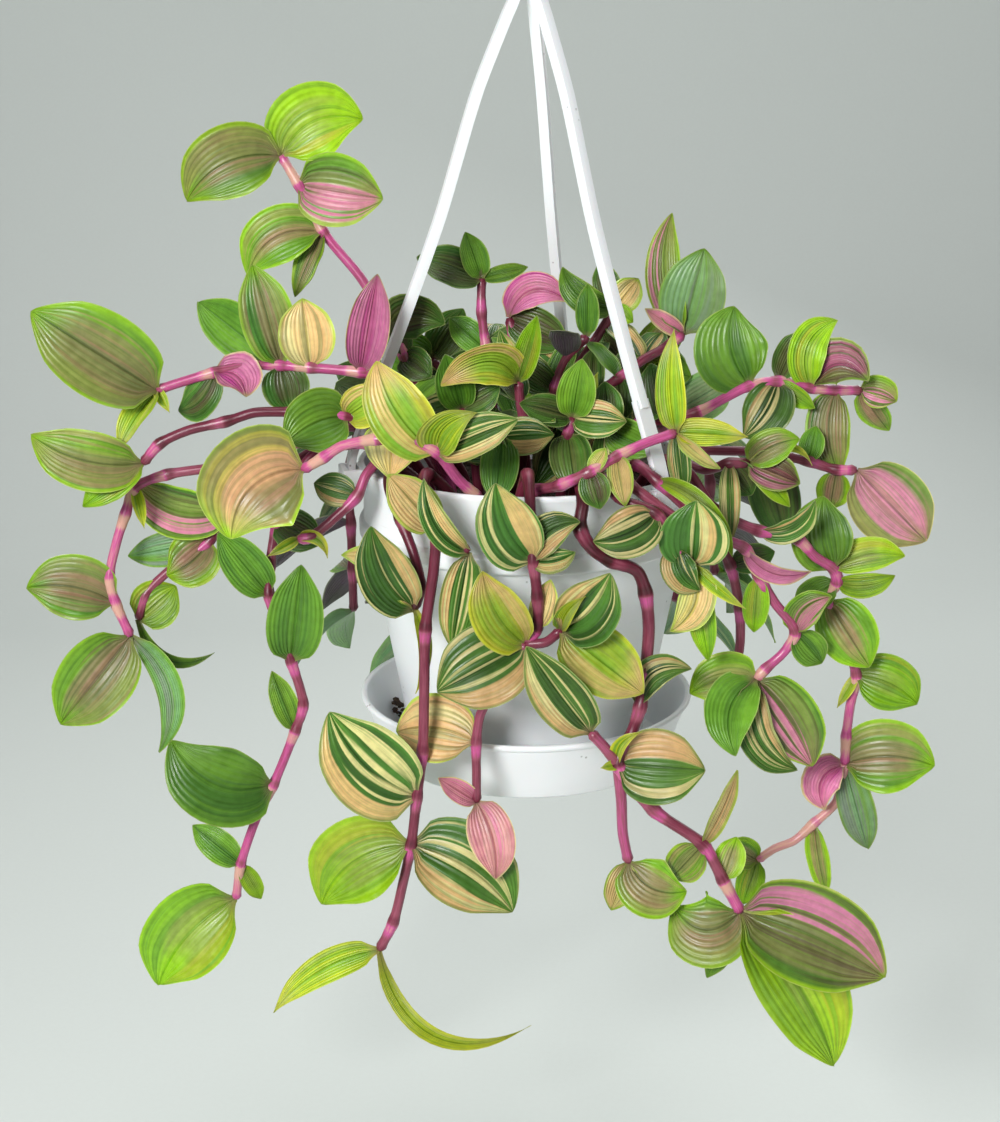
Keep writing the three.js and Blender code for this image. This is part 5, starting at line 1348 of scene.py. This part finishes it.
def inner_leaves(places, number):
    """Small leaves on the stretch of a stem that is inside the crown."""
    picked = random.Random(900 + number)
    leaves = []
    for base in places[2:-1]:
        if base.z < 0 or base.z > INNER_LEAF["most_height"] or base.xy.length > INNER_LEAF["most_radius"]:
            continue
        for _ in range(2):
            heading = Vector((picked.uniform(-1, 1), picked.uniform(-0.6, 1), picked.uniform(0.1, 0.9)))
            heading.normalize()
            reach = INNER_LEAF["length"] + INNER_LEAF["spread"] * picked.random()
            # Half of them take the dark finish, which is partly painted shade for the inside of the crown
            leaves.append(new_leaf(
                base, base + heading * reach, heading, Vector((0, -0.3, 1)), reach * INNER_LEAF["width"],
                picked.choice(["dark", "dark", "green", "stripe"]), bend=INNER_LEAF["bend"]))
    return leaves


def add_blade(mesh, leaf, index, seed, sizes, sector_side=None):
    """One blade: a grid bent to the leaf's form, given an underside and thinned to its margin."""
    blade, own, lift = (mesh.verts.layers.float_vector[name] for name in ("blade", "leaf", "lift"))
    axes = blade_frame(leaf)
    reach = axes[0]
    small = 0.7 if reach < 26 else 1
    columns = max(6, int(sizes.columns * small / 2) * 2)
    corners = bmesh.ops.create_grid(
        mesh, x_segments=columns, y_segments=int(sizes.rows * small), size=1.0)["verts"]
    faces = list({face for corner in corners for face in corner.link_faces})
    picked = random.Random(seed)
    phase, waves, crook = picked.random() * 6.3, picked.uniform(1.5, 2.6), picked.uniform(-1, 1)
    drawn_side = 1 if picked.random() < 0.5 else -1
    side = sector_side or drawn_side
    pleats = picked.choice((PLEATS - 2, PLEATS - 1, PLEATS))
    own_value = Vector((picked.random(), 0, picked.uniform(-0.3, 0.22)))
    rows = {}
    for corner in corners:
        share = (corner.co.y + 1) / 2
        u = 0.35 * share + 0.65 * (0.5 - 0.5 * math.cos(math.pi * share))
        v = corner.co.x
        key = round(u, 4)
        if key not in rows:
            rows[key] = blade_row(leaf, axes, u)
        normal = rows[key][2]
        half = half_width(leaf, u)
        free = min(1, u * 3) * min(1, (1 - u) * 4)
        beat = math.sin(6.28 * waves * u + phase + (v > 0))
        ripple = sizes.wave / MM * min(1, half / 8) * abs(v) ** 3 * beat * free
        curl = 0.02 * reach * crook * v * max(0, u - 0.5)
        pleat = sizes.pleat / MM * min(1, half / 9) * math.cos(math.tau * pleats * v) * free
        corner.co = blade_place(leaf, rows[key], half, v) + normal * (ripple + curl + pleat)
        margin = min(half * (1 - abs(v)), (1 - u) * reach * 0.7 + 0.1)
        corner[blade] = Vector((u, v * side, margin))
        corner[own] = own_value
        thick = sizes.margin + (sizes.blade - sizes.margin) * min(1, margin / 4)
        corner[lift] = normal * thick / MM / 2
    grown = bmesh.ops.extrude_face_region(mesh, geom=faces, use_keep_orig=True)["geom"]
    upper = [item for item in grown if isinstance(item, bmesh.types.BMVert)]
    for corner in corners:
        corner.co -= corner[lift]
        corner[own] = Vector((own_value.x, 1, own_value.z))
    for corner in upper:
        corner.co += corner[lift]
    for corner in corners + upper:
        for face in corner.link_faces:
            face.material_index = index
    creased(edges_of(corners + upper), 0.9)


def add_stem(mesh, places, tones, joints, sizes, thick=1.0, taper=0.87):
    """A fleshy stem with swollen joints where the leaves grow, each with a pale sheath on its far side."""
    blade = mesh.verts.layers.float_vector["blade"]
    route, travelled, marks = smooth_route(places, 2.0)
    whole = travelled[-1]
    rings = [marks[i] for i in joints]
    picked = random.Random(round(whole * 10))
    depths = [picked.uniform(-0.15, 0.13) for _ in range(len(rings) + 1)]

    def radius_at(i):
        swelling = max([math.exp(-((travelled[i] - ring) / JOINT_REACH) ** 2) for ring in rings], default=0)
        sheath = max([1.0 for ring in rings if 0 < travelled[i] - ring < SHEATH], default=0)
        end = min(1, (whole - travelled[i]) / 3 + 0.55)
        return (sizes.stem / MM * thick * (1 - (1 - taper) * travelled[i] / whole)
                * (1 + sizes.joint_swelling * swelling + SHEATH_RISE * sheath) * end)

    def mark(i, ring):
        here = travelled[i]
        tone = tones[0] + (tones[1] - tones[0]) * here / whole + depths[sum(here > joint for joint in rings)]
        for joint in rings:
            for (place, reach, change), sharpness in ((DARK_RING, 2), (PALE_SHEATH, 4)):
                tone += change * math.exp(-((here - joint - place) / reach) ** sharpness)
        for number, corner in enumerate(ring):
            corner[blade] = Vector((tone, abs(number / len(ring) - 0.5) * 2, here))

    tube(mesh, ring_frames(route), 10, radius_at, mark=mark)


def leafy_stem(name, node, stems, leaves, seed, sizes, stood, counts):
    """One shoot with its twigs and leaves, in place of its CAD node. stood holds the blades made so far, and
    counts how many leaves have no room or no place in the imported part."""
    corners = KDTree(len(frame["nodes"][node].data.vertices))
    for vertex in frame["nodes"][node].data.vertices:
        corners.insert(vertex.co / MM + Vector((0, 0, HOOK_TO_RIM)), vertex.index)
    corners.balance()
    mesh = bmesh.new()
    for layer in ("blade", "leaf", "lift"):
        mesh.verts.layers.float_vector.new(layer)
    for places, tones, joints, thick in stems:
        add_stem(mesh, places, tones, joints, sizes, thick)
    inner = inner_leaves(stems[0][0], seed)
    kinds = sorted({leaf["kind"] for leaf in leaves + inner})
    for number, leaf in enumerate(leaves + inner):
        extra = number >= len(leaves)
        packed = leaf if extra else as_packed(leaf, corners)
        if not packed:
            counts["not packed"] += 1
            continue
        fitted, crossings = give_way(packed, stood)
        if crossings and extra:
            counts["dropped"] += 1
            stood.pop()
            continue
        counts["crossing"] += crossings > 0
        add_blade(mesh, fitted, kinds.index(leaf["kind"]) + 1, seed * 100 + number, sizes,
                  SECTOR_SIDES.get((seed, number)))
    bmesh.ops.recalc_face_normals(mesh, faces=mesh.faces)
    to_metres(mesh)
    mesh.verts.layers.float_vector.remove(mesh.verts.layers.float_vector["lift"])
    finishes = [material(STEM_SKIN, stem_material)]
    finishes += [material(CUTICLE + kind, leaf_material, kind) for kind in kinds]
    finish_piece(mesh, name, [node], finishes)


class PLANT_OT_leafy_stems(bpy.types.Operator):
    """Add every leafy stem: the shoots seen from the front and those of the far side"""
    bl_idname = "plant.leafy_stems"
    bl_label = "Leafy stems"

    def execute(self, context):
        sizes = context.scene.plant_sizes
        stood = []
        counts = {"not packed": 0, "crossing": 0, "dropped": 0}
        for number, shoot in enumerate(SHOOTS):
            node = f"shoot_{number + 1:02d}"
            tones = STEM_TONES[number] if number < len(STEM_TONES) else PLAIN_TONES
            crown = [shoot["crown"]] if "crown" in shoot else []
            places = root_places(*shoot["root"]) + [seen(place) for place in crown + shoot["stem"]]
            lead = 2 + len(crown)
            joints = sorted({lead + row[0] for row in shoot["leaves"]} | set(range(lead, len(places) - 1, 2)))
            thick = THICK_STEMS.get(number + 1, 1.0)
            stems = [(places, tones, joints, thick)]
            leaves = [seen_leaf(shoot["stem"], row) for row in shoot["leaves"]]
            for twig in shoot.get("twigs", []):
                route = [shoot["stem"][twig["from"]], *twig["stem"]]
                stems.append(([seen(place) for place in route], (tones[1], tones[1] + 0.1),
                              sorted({row[0] for row in twig["leaves"]}), thick * 0.9))
                leaves += [seen_leaf(route, row) for row in twig["leaves"]]
            leafy_stem(f"leafy_stem_{number + 1:02d}", node, stems, leaves, number + 1, sizes, stood, counts)
        shares = repeatable_shares(BACK_SEED)
        for number, (degrees, drop) in enumerate(BACK_SHOOTS):
            places, leaves = back_shoot(degrees, drop, number, shares)
            stems = [(places, PLAIN_TONES, range(3, len(places)), 1.0)]
            leafy_stem(f"leafy_stem_back_{number + 1:02d}", f"back_{number + 1:02d}", stems, leaves,
                       60 + number, sizes, stood, counts)
        print("leaves:", len(stood), counts)
        return {"FINISHED"}


# Pot, saucer, soil and hanger
def turned(mesh, profile, steps, edge=0.0):
    """A body turned about the pot's axis from a closed profile of (radius, height), its edges rounded."""
    corners = [mesh.verts.new((radius, 0, z)) for radius, z in profile]
    edges = [mesh.edges.new(pair) for pair in zip(corners, corners[1:])]
    bmesh.ops.spin(mesh, geom=corners + edges, cent=(0, 0, 0), axis=(0, 0, 1), angle=math.tau, steps=steps,
                   use_merge=True)
    bmesh.ops.remove_doubles(mesh, verts=mesh.verts, dist=1e-4)
    bmesh.ops.recalc_face_normals(mesh, faces=mesh.faces)
    if edge:
        sharp = [item for item in mesh.edges if len(item.link_faces) == 2 and item.calc_face_angle(0) > 0.3
                 and min(corner.co.xy.length for corner in item.verts) > 5]
        rounded(mesh, sharp, edge)


def smooth_finish(mesh, angle=0.7):
    """Smooth faces with a crease at each edge sharper than angle, in metres from the hook."""
    creased(mesh.edges, angle)
    to_metres(mesh)


def add_ear(mesh, degrees):
    """An ear on the rim with a slot for the strap's foot."""
    size = Matrix.Diagonal((EAR["deep"], EAR["width"], EAR["height"], 1))
    ear = bmesh.ops.create_cube(mesh, size=1.0, matrix=size)["verts"]
    faces = list({face for corner in ear for face in corner.link_faces})
    ends = [face for face in faces if abs(face.normal.z) > 0.9]
    for face in ends:
        bmesh.ops.inset_region(mesh, faces=[face], thickness=EAR["wall"], use_even_offset=True)
    inner = [edge for face in ends for edge in face.edges]
    bmesh.ops.delete(mesh, geom=ends, context="FACES_ONLY")
    bmesh.ops.bridge_loops(mesh, edges=inner)
    whole = set(ear)
    while True:
        more = {edge.other_vert(corner) for corner in whole for edge in corner.link_edges} - whole
        if not more:
            break
        whole |= more
    made = rounded(mesh, edges_of(whole), EAR["rounding"])
    whole = {corner for corner in whole if corner.is_valid} | set(made["verts"])
    place = Matrix.Rotation(math.radians(degrees), 4, "Z") @ Matrix.Translation(
        (EAR["out"], 0, -EAR["height"] / 2))
    bmesh.ops.transform(mesh, matrix=place, verts=list(whole))


class PLANT_OT_pot(bpy.types.Operator):
    """Add the pot with its stepped rim and three slotted ears"""
    bl_idname = "plant.pot"
    bl_label = "Pot"

    def execute(self, context):
        settings = context.scene.pot_settings
        mesh = bmesh.new()
        turned(mesh, POT_PROFILE, settings.steps, 0.3)
        for degrees in STRAP_ANGLES.values():
            add_ear(mesh, degrees)
        smooth_finish(mesh)
        finish_piece(mesh, "hanging_pot", ["pot"],
                     [material(PLASTIC, plastic_material)])
        return {"FINISHED"}


class PLANT_OT_saucer(bpy.types.Operator):
    """Add the clip-on saucer and the crumbs of soil that have washed into it"""
    bl_idname = "plant.saucer"
    bl_label = "Saucer"

    def execute(self, context):
        mesh = bmesh.new()
        turned(mesh, SAUCER_PROFILE, context.scene.pot_settings.steps, 0.2)
        smooth_finish(mesh)
        saucer = finish_piece(mesh, "saucer_fine", ["saucer"],
                              [material(PLASTIC, plastic_material)])
        crumbs = bmesh.new()
        picked = random.Random(5)
        for _ in range(LOOSE_CRUMBS["count"]):
            place = around_pot(picked.uniform(*LOOSE_CRUMBS["arc"]), picked.uniform(*LOOSE_CRUMBS["radii"]),
                               LOOSE_CRUMBS["height"])
            add_crumb(crumbs, place, picked.uniform(*LOOSE_CRUMBS["sizes"]), picked)
        for _ in range(HEAP["lumps"]):
            share = picked.random()
            rise = 1 + HEAP["height"] * share
            wall = SAUCER_FOOT + SAUCER_SLOPE * rise
            place = around_pot(HEAP["direction"] + picked.uniform(-1, 1) * HEAP["spread"] * (1.1 - share),
                               wall - 2 - HEAP["deep"] * (1 - share) * picked.random(), SAUCER_FLOOR + rise)
            add_crumb(crumbs, place, picked.uniform(0.9, 2.1), picked)
        smooth_finish(crumbs)
        crumbs_piece = finish_piece(crumbs, "saucer_crumbs", [], [material(PEAT, soil_material)])
        crumbs_piece.parent = saucer.parent
        return {"FINISHED"}


def add_crumb(mesh, place, size, picked):
    """One small uneven lump."""
    corners = bmesh.ops.create_icosphere(mesh, subdivisions=1, radius=size)["verts"]
    for corner in corners:
        corner.co *= picked.uniform(0.7, 1.2)
    turn = Matrix.Rotation(picked.uniform(0, math.tau), 4, (picked.random(), picked.random(), 1))
    flat = Matrix.Diagonal((1, picked.uniform(0.6, 1), 0.65, 1))
    bmesh.ops.transform(mesh, matrix=Matrix.Translation(place) @ flat @ turn, verts=corners)


def dome(radius, edge, rise):
    return edge + rise * (1 - (radius / DOME_REACH) ** 2)


class PLANT_OT_soil(bpy.types.Operator):
    """Add the soil with its uneven top and loose crumbs"""
    bl_idname = "plant.soil"
    bl_label = "Soil"

    def execute(self, context):
        mesh = bmesh.new()
        rings = [(radius, dome(radius, *SOIL_DOME)) for radius in range(DOME_REACH, 1, -3)]
        turned(mesh, [*SOIL_SIDE, *rings, (0, -14)], SOIL_STEPS)
        for corner in mesh.verts:
            if corner.co.z > -19.5 and corner.co.xy.length < 69:
                corner.co.z += 0.6 * noise.noise(corner.co * 0.22) + 0.35 * noise.noise(corner.co * 0.7)
        picked = random.Random(8)
        size = context.scene.plant_sizes.crumb / MM
        for _ in range(TOP_CRUMBS):
            radius = 67 * math.sqrt(picked.random())
            place = around_pot(picked.uniform(0, 360), radius, dome(radius, *CRUMB_DOME))
            add_crumb(mesh, place, picked.uniform(0.25, 0.6) * size, picked)
        smooth_finish(mesh, 1.2)
        finish_piece(mesh, "potting_soil", ["soil"], [material(PEAT, soil_material)])
        return {"FINISHED"}


def flat_bar(width, thick):
    """The corners of a bar's section, rounded, from those of a unit circle."""
    def section(corner):
        push = max(abs(corner.x), abs(corner.y)) ** 0.8
        return Vector((corner.x / push * thick / 2, corner.y / push * width / 2, 0))
    return section


def add_strap(mesh, degrees):
    """A strap of the hanger: a flat arm, the foot through the ear's slot and the barb that locks it."""
    for places, bar in ((STRAP_ROUTE, ARM), (FOOT_ROUTE, FOOT)):
        route = smooth_route([Vector((radius, 0, z)) for radius, z in places], 4.0)[0]
        tube(mesh, upright_frames(route), 16, section=flat_bar(**bar))
    placed = Matrix.Translation(BARB["place"]) @ Matrix.Diagonal(BARB["size"])
    barb = bmesh.ops.create_cube(mesh, size=1.0, matrix=placed)["verts"]
    rounded(mesh, edges_of(barb), BARB["rounding"])
    bmesh.ops.transform(mesh, matrix=Matrix.Rotation(math.radians(degrees), 4, "Z"), verts=mesh.verts)


class PLANT_OT_hanger(bpy.types.Operator):
    """Add the hook with its hub and the three straps"""
    bl_idname = "plant.hanger"
    bl_label = "Hanger"

    def execute(self, context):
        plastic = material(PLASTIC, plastic_material)
        for side, degrees in STRAP_ANGLES.items():
            mesh = bmesh.new()
            add_strap(mesh, degrees)
            bmesh.ops.recalc_face_normals(mesh, faces=mesh.faces)
            smooth_finish(mesh)
            finish_piece(mesh, "strap_" + side, ["strand_" + side], [plastic])
        mesh = bmesh.new()
        turned(mesh, HUB_PROFILE, HUB_STEPS, 0.3)
        angles = [math.pi * i / 6 for i in range(1, 6)]
        bend = [(HOOK_BEND * math.cos(angle), HOOK_CENTRE + HOOK_BEND * math.sin(angle)) for angle in angles]
        places = [Vector((x, 0, z)) for x, z in HOOK_SHANK + bend + HOOK_END]
        route = smooth_route(places, 1.5)[0]
        tube(mesh, ring_frames(route), 20, lambda i: HOOK_WIRE * min(1, (len(route) - 1 - i) / 3 + 0.6))
        bmesh.ops.recalc_face_normals(mesh, faces=mesh.faces)
        smooth_finish(mesh)
        finish_piece(mesh, "hook_and_hub", ["hook"], [plastic])
        return {"FINISHED"}


class PLANT_OT_studio(bpy.types.Operator):
    """Add the pale floor and backdrop, the soft lights and the camera"""
    bl_idname = "plant.studio"
    bl_label = "Studio"

    def execute(self, context):
        settings = context.scene.stage_settings
        mesh = bmesh.new()
        low = -settings.floor
        outline = ((-PAPER_REACH, low), (WALL_BEHIND, low), (WALL_BEHIND, WALL_TOP))
        corners = [mesh.verts.new((-PAPER_REACH, y, z)) for y, z in outline]
        edges = [mesh.edges.new(pair) for pair in zip(corners, corners[1:])]
        bmesh.ops.translate(mesh, verts=extruded(mesh, edges)[0], vec=(2 * PAPER_REACH, 0, 0))
        fold = [edge for edge in mesh.edges if len(edge.link_faces) == 2]
        rounded(mesh, fold, WALL_BEND, segments=16, clamp=False)
        for face in mesh.faces:
            face.smooth = True
        backdrop = object_of(mesh, "backdrop", [material(PAPER, backdrop_material)])

        for name, (place, size, power) in LAMPS.items():
            lamp = bpy.data.lights.new(name, "AREA")
            lamp.shape, lamp.size, lamp.energy = "DISK", size, power
            holder = bpy.data.objects.new(name, lamp)
            holder.location = place
            holder.rotation_euler = (PLANT_MIDDLE - Vector(place)).to_track_quat("-Z", "Y").to_euler()
            context.collection.objects.link(holder)
        world = bpy.data.worlds.new("soft_room")
        world.use_nodes = True
        feed(world.node_tree.nodes["Background"], {0: linear(ROOM), 1: ROOM_LIGHT})
        context.scene.world = world
        context.scene.view_settings.view_transform = "Standard"

        lens = bpy.data.cameras.new("camera")
        lens.lens, lens.sensor_width, lens.sensor_fit = settings.lens, SENSOR, "AUTO"
        holder = bpy.data.objects.new("camera", lens)
        holder.location = TO_FRAME @ EYE
        holder.rotation_euler = (math.pi / 2 - settings.pitch, 0, 0)
        context.collection.objects.link(holder)
        context.scene.camera = holder
        return {"FINISHED"}


class PLANT_PT_panel(bpy.types.Panel):
    """Lists the pieces of the plant"""
    bl_label = "Potted tradescantia"
    bl_idname = "PLANT_PT_panel"
    bl_space_type = "VIEW_3D"
    bl_region_type = "UI"
    bl_category = "Plant"

    def draw(self, context):
        for piece in PIECES:
            self.layout.operator(piece.bl_idname)
        for name in ("plant_sizes", "plant_colours", "pot_settings", "stage_settings"):
            group = getattr(context.scene, name)
            box = self.layout.box()
            for prop in group.bl_rna.properties:
                if prop.identifier not in ("rna_type", "name"):
                    box.prop(group, prop.identifier)


PIECES = (
    PLANT_OT_studio, PLANT_OT_hanger, PLANT_OT_pot, PLANT_OT_saucer, PLANT_OT_soil, PLANT_OT_leafy_stems)
GROUPS = {"plant_sizes": PlantSizes, "plant_colours": PlantColours, "pot_settings": PotSettings,
          "stage_settings": StageSettings}


def register():
    for group in GROUPS.values():
        bpy.utils.register_class(group)
    for name, group in GROUPS.items():
        setattr(bpy.types.Scene, name, bpy.props.PointerProperty(type=group))
    for piece in (*PIECES, PLANT_PT_panel):
        bpy.utils.register_class(piece)


def unregister():
    for piece in (PLANT_PT_panel, *PIECES[::-1]):
        bpy.utils.unregister_class(piece)
    for name, group in GROUPS.items():
        delattr(bpy.types.Scene, name)
        bpy.utils.unregister_class(group)


def main():
    register()
    for piece in PIECES:
        group, operator = piece.bl_idname.split(".")
        getattr(getattr(bpy.ops, group), operator)()


if __name__ == "__main__":
    main()
